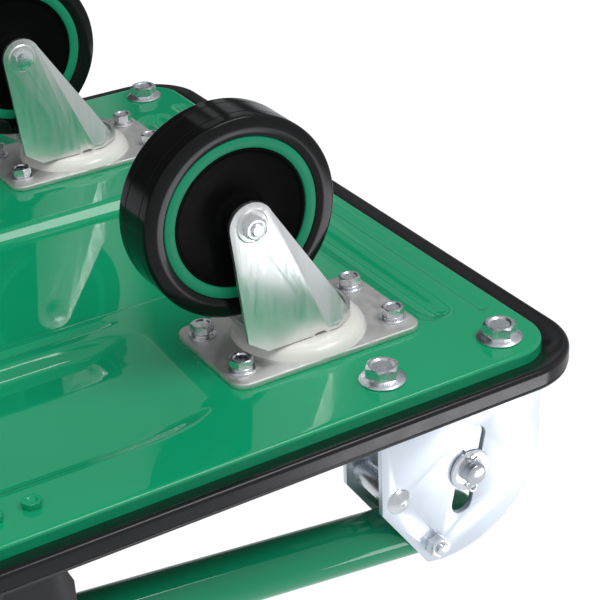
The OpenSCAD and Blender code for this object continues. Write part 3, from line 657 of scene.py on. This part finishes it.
# %% [markdown]
# ## Bracket bolts
# The two handle brackets are held by big flange bolts. The flange is forged with the head: a thin cone with
# a rolled edge runs into the hexagon.

# %% Flange bolt
def flange_bolt_rings(af, flange, height, shank, up):
    rings = [("round", shank - 1, -up, 0), ("round", shank, -up + 1.2, 0), ("round", shank, 0, 0),
             ("round", flange - 0.5, 0, 0), ("round", flange, 0.5, 0), ("round", flange, 1.1, 0),
             ("round", flange - 0.5, 1.6, 0), ("round", flange - 2.2, 2.3, 0), ("hex", af, 3.4, 0),
             ("hex", af, height - 0.3, 0.6), ("round", af / 2 * 0.93, height, 0),
             ("round", af / 2 * 0.80, height - 0.1, 0), ("round", af / 2 * 0.68, height - 1.2, 0),
             ("round", af / 2 * 0.35, height - 1.7, 0), ("round", 0.4, height - 1.75, 0)]
    return hanging(rings)


low, high, size, mid = size_of("bracket_bolts")
HEAD_REACH = 14.4 * MM
spots = [Vector((x, s * (high.y - HEAD_REACH), UNDERSIDE))
         for x in (low.x + HEAD_REACH, high.x - HEAD_REACH) for s in (-1, 1)]
flange_mesh = hexed(flange_bolt_rings(18.5, 14.2, 10.4, 6, 19))
bracket_bolts = put_at("bracket_flange_bolts", flange_mesh, spots, BOLT_ZINC, "deck", 0.9)
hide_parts("bracket_bolts")

# %% [markdown]
# ## Wheels
# A moulded wheel is a body of turning: tyre, green rim, black hub disc. Each is drawn as half a section
# and spun. The tyre has a flat tread with two fine grooves, a tight round shoulder and a flat side wall.

# %% Wheel sections
R = WHEEL_R / MM
H = WHEEL_W / MM / 2
RIM_R = R - 12.5
IN_R = RIM_R - 7


def mirrored(half):
    """A closed section from its half on the +Z side, listed from the outside in."""
    return half + [(r, -z) for r, z in reversed(half)]


def bend(cx, cz, r, a0, a1, steps=6):
    angles = [math.radians(a0 + (a1 - a0) * i / steps) for i in range(steps + 1)]
    return [(cx + r * math.cos(a), cz + r * math.sin(a)) for a in angles]


tyre_half = ([(R, 0), (R, H - 9.4), (R - 0.9, H - 9.0), (R - 0.9, H - 8.7), (R, H - 8.3)]
             + bend(R - 2.6, H - 2.6, 2.6, 0, 78, 8)
             + [(R - 7, H - 0.25), (RIM_R + 1.2, H - 0.1), (RIM_R + 0.4, H - 0.5), (RIM_R, H - 1.2)])
rim_half = ([(RIM_R, 0), (RIM_R, H - 1.2), (RIM_R - 0.4, H - 0.6), (RIM_R - 1.0, H - 0.35)]
            + [(IN_R + 0.9, H - 0.35), (IN_R + 0.3, H - 0.7), (IN_R, H - 1.3), (IN_R, H - 6)]
            + [(12.6, H - 6), (12.6, H + 5.2), (9, H + 5.2)])
disc_half = [(IN_R - 0.1, H - 5), (IN_R - 0.1, H - 1.7), (IN_R - 0.5, H - 1.2), (IN_R - 1.1, H - 1.1),
             (IN_R - 1.8, H - 1.4), (IN_R - 2.5, H - 2.4), (IN_R - 4.0, H - 2.8), (18, H - 2.9),
             (15, H - 2.6), (13.6, H - 1.6), (13.1, H), (13, H + 5.2), (12.4, H + 5.9), (9.2, H + 5.9),
             (9.2, H + 5.3),
             (12.7, H + 5.3), (12.7, H - 5)]

WHEELS = {"rear_left": "wheel_rear_left", "rear_right": "wheel_rear_right",
          "front_left": "wheel_front_left", "front_right": "wheel_front_right"}
for where, body in WHEELS.items():
    _, _, _, centre = size_of("tyre_" + where)
    place = Matrix.Translation(centre) @ Matrix.Rotation(math.pi / 2, 4, "X")
    tyre = turned_piece("tyre_" + where + "_tread", mirrored(tyre_half), place, TYRE_BLACK, body,
                        192)
    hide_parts("tyre_" + where)
    rim = turned_piece("rim_" + where + "_ring", mirrored(rim_half), place, RIM_GREEN, body,
                       160)
    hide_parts("rim_" + where)
    verts, faces = [], []
    for s in (1, -1):
        v, f = turned([(r * MM, s * z * MM) for r, z in disc_half], place, 128)
        faces += [tuple(k + len(verts) for k in face) for face in f]
        verts += v
    disc = piece("hub_disc_" + where, verts, faces, HUB_BLACK, body, smooth=False)
    face_outward(disc)
    disc.data.shade_smooth()
    disc.data.set_sharp_from_angle(angle=math.radians(35))
    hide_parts("hub_caps_" + where)
    frame["nodes"]["bearing_" + where].data.materials.clear()
    frame["nodes"]["bearing_" + where].data.materials.append(BEARING_STEEL)
print("four wheels turned")

# %% [markdown]
# ## Axles
# The axle is a bolt through the fork with a nut on its outer end. Its round tip shows in the nut.

# %% Axle bolts and nuts
def axle_parts(bolt_node, nut_node, count_name, body, sides):
    """Hexagon head, shank and nut of each axle, seated on the outer faces of the fork."""
    verts, faces = [], []
    for side, centre, face in sides:
        turn = Matrix.Translation(centre) @ Matrix.Rotation(-math.pi / 2 * side, 4, "X")
        f = face / MM
        rings = [("round", 0.3, -f - 4.5, 0), ("round", 5.9, -f - 4.5, 0), ("hex", 13, -f - 4.2, -0.5),
                 ("hex", 13, -f, 0), ("round", 4, -f, 0), ("round", 4, f, 0), ("round", 6.4, f, 0),
                 ("hex", 13, f + 0.2, 0), ("hex", 13, f + 4.7, 0.5), ("round", 5.9, f + 5.0, 0),
                 ("round", 4.6, f + 4.9, 0), ("round", 4.1, f + 4.5, 0), ("round", 3.9, f + 5.9, 0),
                 ("round", 3.2, f + 6.6, 0), ("round", 0.3, f + 6.7, 0)]
        mesh = hexed(rings)
        base = len(verts)
        verts += [turn @ v.co for v in mesh.vertices]
        faces += [tuple(base + i for i in p.vertices) for p in mesh.polygons]
        bpy.data.meshes.remove(mesh)
    obj = piece(count_name, verts, faces, BOLT_ZINC, body, smooth=False)
    face_outward(obj)
    obj.data.shade_smooth()
    obj.data.set_sharp_from_angle(angle=math.radians(30))
    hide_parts(bolt_node, nut_node)
    return obj


FORK_HALF_W = 28.5 * MM
WASHER_GAP = 0.8 * MM
FORK_FACE = FORK_HALF_W + WASHER_GAP
for side, s in (("left", 1), ("right", -1)):
    _, _, _, centre = size_of("tyre_rear_" + side)
    axle_parts("rear_axle_" + side, "rear_axle_nut_" + side, "rear_axle_set_" + side, "swivel_" + side,
               [(s, centre, FORK_FACE)])
fronts = [(s, size_of("tyre_front_" + side)[3], FORK_FACE) for side, s in (("left", 1), ("right", -1))]
axle_parts("front_axles", "front_axle_nuts", "front_axle_sets", "deck", fronts)

# %% [markdown]
# ## Castor plates and forks
# The top plate is cut sheet whose sheared edge is slightly round. Its middle is pressed down into a dish
# that holds the ball race. The dish's pale cream colour is a painted reflection of the bright light it
# catches. The forks are bent sheet.

# %% Rounded plate
PLATE_HALF_X = 66 * MM
PLATE_HALF_Y = 42 * MM
PLATE_CORNER = 10 * MM


def rounded_outline(half_x, half_y, r, steps=10):
    found = []
    for c, (sx, sy) in enumerate(((1, 1), (-1, 1), (-1, -1), (1, -1))):
        for i in range(steps + 1):
            a = math.pi / 2 * (c + i / steps)
            found.append((sx * (half_x - r) + r * math.cos(a), sy * (half_y - r) + r * math.sin(a)))
    return found


def plate_at(name, centre, body):
    """Top plate: an outline with eased edges."""
    edge = 0.9 * MM
    levels = [(edge, PLATE_Z), (edge * 0.3, PLATE_Z + edge * 0.3), (0, PLATE_Z + edge),
              (0, UNDERSIDE - edge * 0.5), (edge * 0.5, UNDERSIDE)]
    verts, faces = [], []
    for inset, z in levels:
        plan = rounded_outline(PLATE_HALF_X - inset, PLATE_HALF_Y - inset, PLATE_CORNER - inset)
        verts += [(centre.x + x, centre.y + y, z) for x, y in plan]
    n = len(verts) // len(levels)
    for k in range(len(levels) - 1):
        faces += [(k * n + i, k * n + (i + 1) % n, (k + 1) * n + (i + 1) % n, (k + 1) * n + i)
                  for i in range(n)]
    faces += [tuple(range(n))[::-1], tuple((len(levels) - 1) * n + i for i in range(n))]
    obj = piece(name, verts, faces, PLATE_ZINC, body, smooth=False)
    face_outward(obj)
    obj.data.shade_smooth()
    obj.data.set_sharp_from_angle(angle=math.radians(50))
    return obj


dish = [(6.1, 148.0), (30.0, 148.0), (34.0, 148.15), (37.6, 149.0), (40.2, 150.9), (41.8, 153.4),
        (42.6, 156.2), (42.0, 157.5), (38, 157.5), (36, 153), (6.1, 153)]
for side, s in (("left", 1), ("right", -1)):
    centre = Vector((-CASTOR_X, s * CASTOR_Y, 0))
    plate = plate_at("castor_plate_sheet_" + side, centre, "deck")
    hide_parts("castor_plate_rear_" + side)
    # The race dish is coloured pale cream, a painted reflection of bright light off the pressed dish.
    turned_piece("race_dish_" + side, dish, Matrix.Translation(centre), RACE_PAINTED_REFLECTION, "deck",
                 128, 40)
    eased("swivel_fork_" + side, "fork_" + side, FORK_ZINC, 0.5, 2, 40)
    eased("fixed_fork_front_" + side, "fixed_fork_" + side, FORK_ZINC, 0.5, 2, 40)
    for node in ("kingpin_" + side, "swivel_balls_" + side):
        frame["nodes"][node].data.materials.clear()
        frame["nodes"][node].data.materials.append(BOLT_ZINC)
print("castors dressed")

# %% [markdown]
# ## Handle
# The handle is one tube bent twice. A curve with a round bevel would do, but a section carried along the
# bend by hand keeps its rings square to the path and lets the tail end in a dome.

# %% The tube
low, high, size, mid = size_of("handle_tube")
pivot = Vector(JOINTS["handle_fold"]["pos_m"])
TUBE_R = 17 * MM
LEG_Y = bracket_mid.y * -1
grip = Vector((high.x - TUBE_R, 0, low.z + TUBE_R))
reach = math.hypot(grip.x - pivot.x, grip.z - pivot.z)
tilt = math.atan2(pivot.z - grip.z, grip.x - pivot.x)
BEND_R = 90 * MM
TAIL = 28 * MM


def handle_path():
    """Centre line from one tail to the other, with the direction of travel, in the handle's own plane."""
    leg = reach - BEND_R
    stops = [(-TAIL + leg_x, -LEG_Y, 1, 0) for leg_x in (0, 0.02)]
    stops += [(x, -LEG_Y, 1, 0) for x in [leg * i / 12 for i in range(1, 12)]]
    for i in range(25):
        a = math.pi / 2 * i / 24
        stops.append((leg + BEND_R * math.sin(a), -LEG_Y + BEND_R * (1 - math.cos(a)),
                      math.cos(a), math.sin(a)))
    stops += [(reach, y, 0, 1) for y in (-0.08, 0, 0.08)]
    return stops + [(x, -y, -dx, dy) for x, y, dx, dy in reversed(stops[:-2])][1:]


def tube(stops, radius, steps=48):
    verts, faces = [], []
    to_place = Matrix.Translation(pivot) @ Matrix.Rotation(tilt, 4, "Y")
    angles = [math.pi / 2 * i / 8 for i in range(8)]
    dome = [(math.sin(a) * radius, -math.cos(a) * radius) for a in angles]
    rings = [(stops[0], r, back) for r, back in dome]
    rings += [(stop, radius, 0) for stop in stops]
    rings += [(stops[-1], r, -back) for r, back in reversed(dome)]
    for (x, y, dx, dy), r, back in rings:
        centre = Vector((x + dx * back, y + dy * back, 0))
        side = Vector((-dy, dx, 0))
        for i in range(steps):
            a = 2 * math.pi * i / steps
            verts.append(to_place @ (centre + side * r * math.cos(a) + Vector((0, 0, r * math.sin(a)))))
    for k in range(len(rings) - 1):
        for i in range(steps):
            j = (i + 1) % steps
            faces.append((k * steps + i, k * steps + j, (k + 1) * steps + j, (k + 1) * steps + i))
    return verts, faces


verts, faces = tube(handle_path(), TUBE_R * 0.9995)
handle = piece("handle_frame", verts, faces, TUBE_GREEN, "handle", smooth=False)
face_outward(handle)
handle.data.shade_smooth()
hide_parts("handle_tube", "handle_end_caps")
frame["nodes"]["handle_bushes"].data.materials.clear()
frame["nodes"]["handle_bushes"].data.materials.append(BUSH_WHITE)
print(f"handle reach {1000 * reach:.0f} mm, folded tilt {math.degrees(tilt):.1f} degrees")

# %% [markdown]
# ## Brackets, rests and small hardware
# These are cut or moulded blocks whose shape the frame already has, so each is a copy of its CAD solid with
# its edges broken: sheared plate gets a fine edge, moulded plastic a fat one.

# %% Copies with broken edges
for side in ("left", "right"):
    eased("bracket_" + side, "bracket_plate_" + side, BRACKET_ZINC, 0.5, 2, 30)
eased("handle_rests", "rest_blocks", REST_BLACK, 1.2, 3, 30)
for node in ("bracket_nuts", "stop_bolts", "stop_nuts", "stop_sleeves", "pivot_bolts", "pivot_nuts",
             "lock_washers"):
    eased(node, node + "_plated", BOLT_ZINC, 0.35, 2, 30)
eased("rest_screws", "rest_screws_painted", DECK_GREEN, 0.35, 2, 30)
frame["nodes"]["castor_nuts"].data.materials.clear()
frame["nodes"]["castor_nuts"].data.materials.append(BOLT_ZINC)

# %% [markdown]
# ## Lock bar, split pins and springs
# The lock bar is a drawn round rod with chamfered ends. A split pin in each end keeps its washer on, and a
# coil spring in each bracket lifts it.

# %% Lock bar
low, high, size, mid = size_of("lock_bar")
BAR_R = size.x / 2 / MM
half = size.y / 2 / MM
bar_section = [(0, half), (BAR_R - 1.4, half), (BAR_R - 0.5, half - 0.5), (BAR_R, half - 1.4),
               (BAR_R, -half + 1.4), (BAR_R - 0.5, -half + 0.5), (BAR_R - 1.4, -half), (0, -half)]
bar_place = Matrix.Translation(mid) @ Matrix.Rotation(math.pi / 2, 4, "X")
bar = turned_piece("lock_bar_rod", bar_section, bar_place, BAR_ZINC, "lock_bar", 64, 40)
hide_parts("lock_bar")


# %% A wire along any path
def wire(path, radius, steps=12):
    """A closed round wire through the path's points, each with a frame turned as little as possible."""
    verts, faces = [], []
    side = None
    for i, p in enumerate(path):
        ahead = (path[min(i + 1, len(path) - 1)] - path[max(i - 1, 0)]).normalized()
        if side is None:
            side = ahead.orthogonal().normalized()
        side = (side - ahead * side.dot(ahead)).normalized()
        other = ahead.cross(side)
        for k in range(steps):
            a = 2 * math.pi * k / steps
            verts.append(p + side * radius * math.cos(a) + other * radius * math.sin(a))
    for i in range(len(path) - 1):
        for k in range(steps):
            m = (k + 1) % steps
            faces.append((i * steps + k, i * steps + m, (i + 1) * steps + m, (i + 1) * steps + k))
    faces += [tuple(range(steps))[::-1], tuple((len(path) - 1) * steps + k for k in range(steps))]
    return verts, faces


# %% Split pins
_, pin_high, _, _ = size_of("split_pins")
pin_y = pin_high.y - 3.4 * MM
verts, faces = [], []
for s in (-1, 1):
    base = Vector((mid.x, s * pin_y, mid.z))
    path = [base + Vector((0, 0.0, z * MM)) for z in (-11, -9, -7.2, 0, 6, 8.6)]
    path[0] += Vector((3.2 * MM, 0, 1 * MM))
    path[1] += Vector((1.6 * MM, 0, 0))
    eye = [base + Vector((2.4 * MM * math.sin(a), 0, (11.4 - 2.6 * math.cos(a)) * MM))
           for a in [0.5 + (2 * math.pi - 1.0) * i / 12 for i in range(13)]]
    back = [base + Vector((-0.9 * MM, 0, z * MM)) for z in (8.2, 6, 0, -7.2, -9)]
    back.append(base + Vector((-3 * MM, 0, -10.4 * MM)))
    v, f = wire([p + Vector((0.7 * MM, 0, 0)) for p in path] + eye + back, 0.8 * MM, 10)
    faces += [tuple(k + len(verts) for k in face) for face in f]
    verts += v
pins = piece("split_pin_pair", verts, faces, BOLT_ZINC, "lock_bar")
face_outward(pins)
pins.data.shade_smooth()
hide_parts("split_pins")

# %% Springs
low, high, size, mid = size_of("lock_springs")
verts, faces = [], []
TURNS = 7
COIL_R = 5.1 * MM
WIRE_R = 0.85 * MM
SPRING_OUT = 6 * MM
for s in (-1, 1):
    centre = Vector((mid.x, s * (high.y - SPRING_OUT), 0))
    path = []
    for i in range(TURNS * 24 + 1):
        t = i / (TURNS * 24)
        a = 2 * math.pi * TURNS * t
        z = low.z + 0.9 * MM + (size.z - 1.8 * MM) * t
        path.append(centre + Vector((COIL_R * math.cos(a), COIL_R * math.sin(a), z)))
    v, f = wire(path, WIRE_R, 8)
    faces += [tuple(k + len(verts) for k in face) for face in f]
    verts += v
springs = piece("return_springs", verts, faces, BOLT_ZINC, "deck")
face_outward(springs)
springs.data.shade_smooth()
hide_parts("lock_springs")
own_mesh(springs)

# %% [markdown]
# ## Ribbed mat
# The load lies on a rubber mat with fine lengthwise ribs, which stop boxes from sliding. The mat's own
# shape is the CAD solid with soft edges. Its ribs are shallow and repeat evenly, so they are a pattern in
# the finish: a wave across the mat drives the bump, which costs no polygons.

# %% Mat and ribs
def ribbed(mat, pitch):
    """Adds even lengthwise ribs to a finish, as a wave across the object's own Y."""
    tree = mat.node_tree
    shader = tree.nodes["Principled BSDF"]
    coords = tree.nodes.new("ShaderNodeTexCoord")
    wave = tree.nodes.new("ShaderNodeTexWave")
    wave.bands_direction = "Y"
    wave.inputs["Scale"].default_value = 2 * math.pi / pitch / 20
    tree.links.new(coords.outputs["Object"], wave.inputs["Vector"])
    relief(tree, shader, wave.outputs["Fac"], 0.8, 1.2)


ribbed(MAT_BLACK, 6 * MM)
eased("deck_mat", "mat_sheet", MAT_BLACK, 0.4, 2, 30)
_, _, mat_size, _ = size_of("deck_mat")
print("mat", [round(v * 1000) for v in mat_size])

# %% [markdown]
# ## Studio
# Soft light and a pale floor. The view is from below the deck, so the floor only shows from above, and big
# soft panels stand both over and under the trolley. Gloss lives from what it reflects: the panels have plain
# shapes, so that they draw clean bright bands on enamel and plate.

# %% Floor that shows from above only
def floor():
    mesh = bpy.data.meshes.new("floor")
    mesh.from_pydata([(-6, -6, 0), (6, -6, 0), (6, 6, 0), (-6, 6, 0)], [], [(0, 1, 2, 3)])
    obj = bpy.data.objects.new("floor", mesh)
    bpy.context.scene.collection.objects.link(obj)
    mat = bpy.data.materials.new("pale_floor")
    mat.use_nodes = True
    tree = mat.node_tree
    tree.nodes.clear()
    out = tree.nodes.new("ShaderNodeOutputMaterial")
    mix = tree.nodes.new("ShaderNodeMixShader")
    clear = tree.nodes.new("ShaderNodeBsdfTransparent")
    pale = tree.nodes.new("ShaderNodeBsdfDiffuse")
    pale.inputs["Color"].default_value = (0.86, 0.86, 0.86, 1)
    side = tree.nodes.new("ShaderNodeNewGeometry")
    ray = tree.nodes.new("ShaderNodeLightPath")
    seen = tree.nodes.new("ShaderNodeMath")
    seen.operation = "SUBTRACT"
    seen.use_clamp = True
    tree.links.new(ray.outputs["Is Camera Ray"], seen.inputs[0])
    tree.links.new(side.outputs["Backfacing"], seen.inputs[1])
    tree.links.new(seen.outputs["Value"], mix.inputs["Fac"])
    tree.links.new(clear.outputs["BSDF"], mix.inputs[1])
    tree.links.new(pale.outputs["BSDF"], mix.inputs[2])
    tree.links.new(mix.outputs["Shader"], out.inputs["Surface"])
    mesh.materials.append(mat)


floor()


# %% Panels
def panel(name, at, aim, width, height, power, tone=(1, 1, 1), mirrored_in_gloss=True):
    light = bpy.data.lights.new(name, "AREA")
    light.shape = "RECTANGLE"
    light.size = width
    light.size_y = height
    light.energy = power
    light.color = tone
    obj = bpy.data.objects.new(name, light)
    bpy.context.scene.collection.objects.link(obj)
    obj.visible_glossy = mirrored_in_gloss
    obj.location = at
    obj.rotation_euler = (Vector(aim) - Vector(at)).to_track_quat("-Z", "Y").to_euler()


DECK_CENTRE = (0, 0, UNDERSIDE)
CORNER_SPOT = (-0.36, -0.27, UNDERSIDE)
panel("over_soft", (0.3, -0.6, 2.4), DECK_CENTRE, 2.2, 2.2, 30, mirrored_in_gloss=False)
panel("under_soft", (0.2, -0.7, -1.9), DECK_CENTRE, 2.0, 1.6, 21, mirrored_in_gloss=False)
panel("key_strip", (-0.95, -1.05, -1.5), DECK_CENTRE, 1.1, 0.45, 10)
panel("side_box", (-1.60, -1.75, 1.25), CORNER_SPOT, 0.9, 0.55, 7, (0.96, 0.95, 1.0))

# %% Sky with soft boxes painted on it
world = bpy.data.worlds.new("studio")
bpy.context.scene.world = world
world.use_nodes = True
sky = world.node_tree
sky.nodes.clear()


def sky_math(kind, first, second=None):
    node = sky.nodes.new("ShaderNodeMath")
    node.operation = kind
    for k, value in enumerate((first, second)):
        if isinstance(value, (int, float)):
            node.inputs[k].default_value = value
        elif value is not None:
            sky.links.new(value, node.inputs[k])
    return node.outputs["Value"]


def ramp(value, start, stop):
    """0 before start, 1 after stop, smooth between; start above stop turns it round."""
    node = sky.nodes.new("ShaderNodeMapRange")
    node.interpolation_type = "SMOOTHSTEP"
    node.inputs["From Min"].default_value = start
    node.inputs["From Max"].default_value = stop
    sky.links.new(value, node.inputs["Value"])
    return node.outputs["Result"]


where = sky.nodes.new("ShaderNodeTexCoord")
split = sky.nodes.new("ShaderNodeSeparateXYZ")
sky.links.new(where.outputs["Generated"], split.inputs["Vector"])
DEG = 180 / math.pi
turn_deg = sky_math("MULTIPLY", sky_math("ARCTAN2", sky_math("MULTIPLY", split.outputs["X"], -1.0),
                                         split.outputs["Y"]), DEG)
rise_deg = sky_math("MULTIPLY", sky_math("ARCSINE", split.outputs["Z"]), DEG)


def soft_box(turn, rise, level, edge=0.7):
    """A pale panel between two turns from +Y towards -X and two rises, in degrees."""
    wide = sky_math("MULTIPLY", ramp(turn_deg, turn[0] - edge, turn[0] + edge),
                    ramp(turn_deg, turn[1] + edge, turn[1] - edge))
    tall = sky_math("MULTIPLY", ramp(rise_deg, rise[0] - edge, rise[0] + edge),
                    ramp(rise_deg, rise[1] + edge, rise[1] - edge))
    return sky_math("MULTIPLY", sky_math("MULTIPLY", wide, tall), level)


ahead = sky_math("MULTIPLY", ramp(split.outputs["Y"], -0.1, 0.5), ramp(split.outputs["Z"], 0.05, -0.1))
level = sky_math("SUBTRACT", 0.58, sky_math("MULTIPLY", ahead, 0.53))
level = sky_math("ADD", level, sky_math("MULTIPLY", ramp(split.outputs["Z"], 0.1, 0.8), 0.25))
for box in (((8, 23.3), (-62, -31), 0.36), ((19.5, 23.3), (-31, -14), 0.45),
            ((27.3, 31.5), (-62, -12), 0.46), ((31.5, 75), (-62, -12), 0.24)):
    level = sky_math("ADD", level, soft_box(*box))
out = sky.nodes.new("ShaderNodeOutputWorld")
mix = sky.nodes.new("ShaderNodeMixShader")
room = sky.nodes.new("ShaderNodeBackground")
room.inputs["Color"].default_value = (0.95, 0.975, 1.0, 1)
sky.links.new(level, room.inputs["Strength"])
back = sky.nodes.new("ShaderNodeBackground")
back.inputs["Color"].default_value = (1, 1, 1, 1)
back.inputs["Strength"].default_value = 1.05
ray = sky.nodes.new("ShaderNodeLightPath")
sky.links.new(ray.outputs["Is Camera Ray"], mix.inputs["Fac"])
sky.links.new(room.outputs["Background"], mix.inputs[1])
sky.links.new(back.outputs["Background"], mix.inputs[2])
sky.links.new(mix.outputs["Shader"], out.inputs["Surface"])
bpy.context.scene.view_settings.view_transform = "Standard"

# %% [markdown]
# ## Camera
# A long lens looks up at the handle end from below, turned over so that the wheels point upwards, as when
# the trolley lies on its folded handle.

# %% Camera
camera = bpy.data.cameras.new("camera")
LENS_MM = 97.8
ROLL_DEG = 177.25
camera.lens = LENS_MM
camera.sensor_width = 36
camera.clip_end = 20
camera_obj = bpy.data.objects.new("camera", camera)
bpy.context.scene.collection.objects.link(camera_obj)
stand = Vector((0.1276, -0.9358, -0.3466))
aim = Vector((-0.3293, -0.1349, 0.160))
look = (aim - stand).to_track_quat("-Z", "Y").to_matrix()
camera_obj.matrix_world = (Matrix.Translation(stand)
                           @ (look @ Matrix.Rotation(math.radians(ROLL_DEG), 3, "Z")).to_4x4())
bpy.context.scene.camera = camera_obj
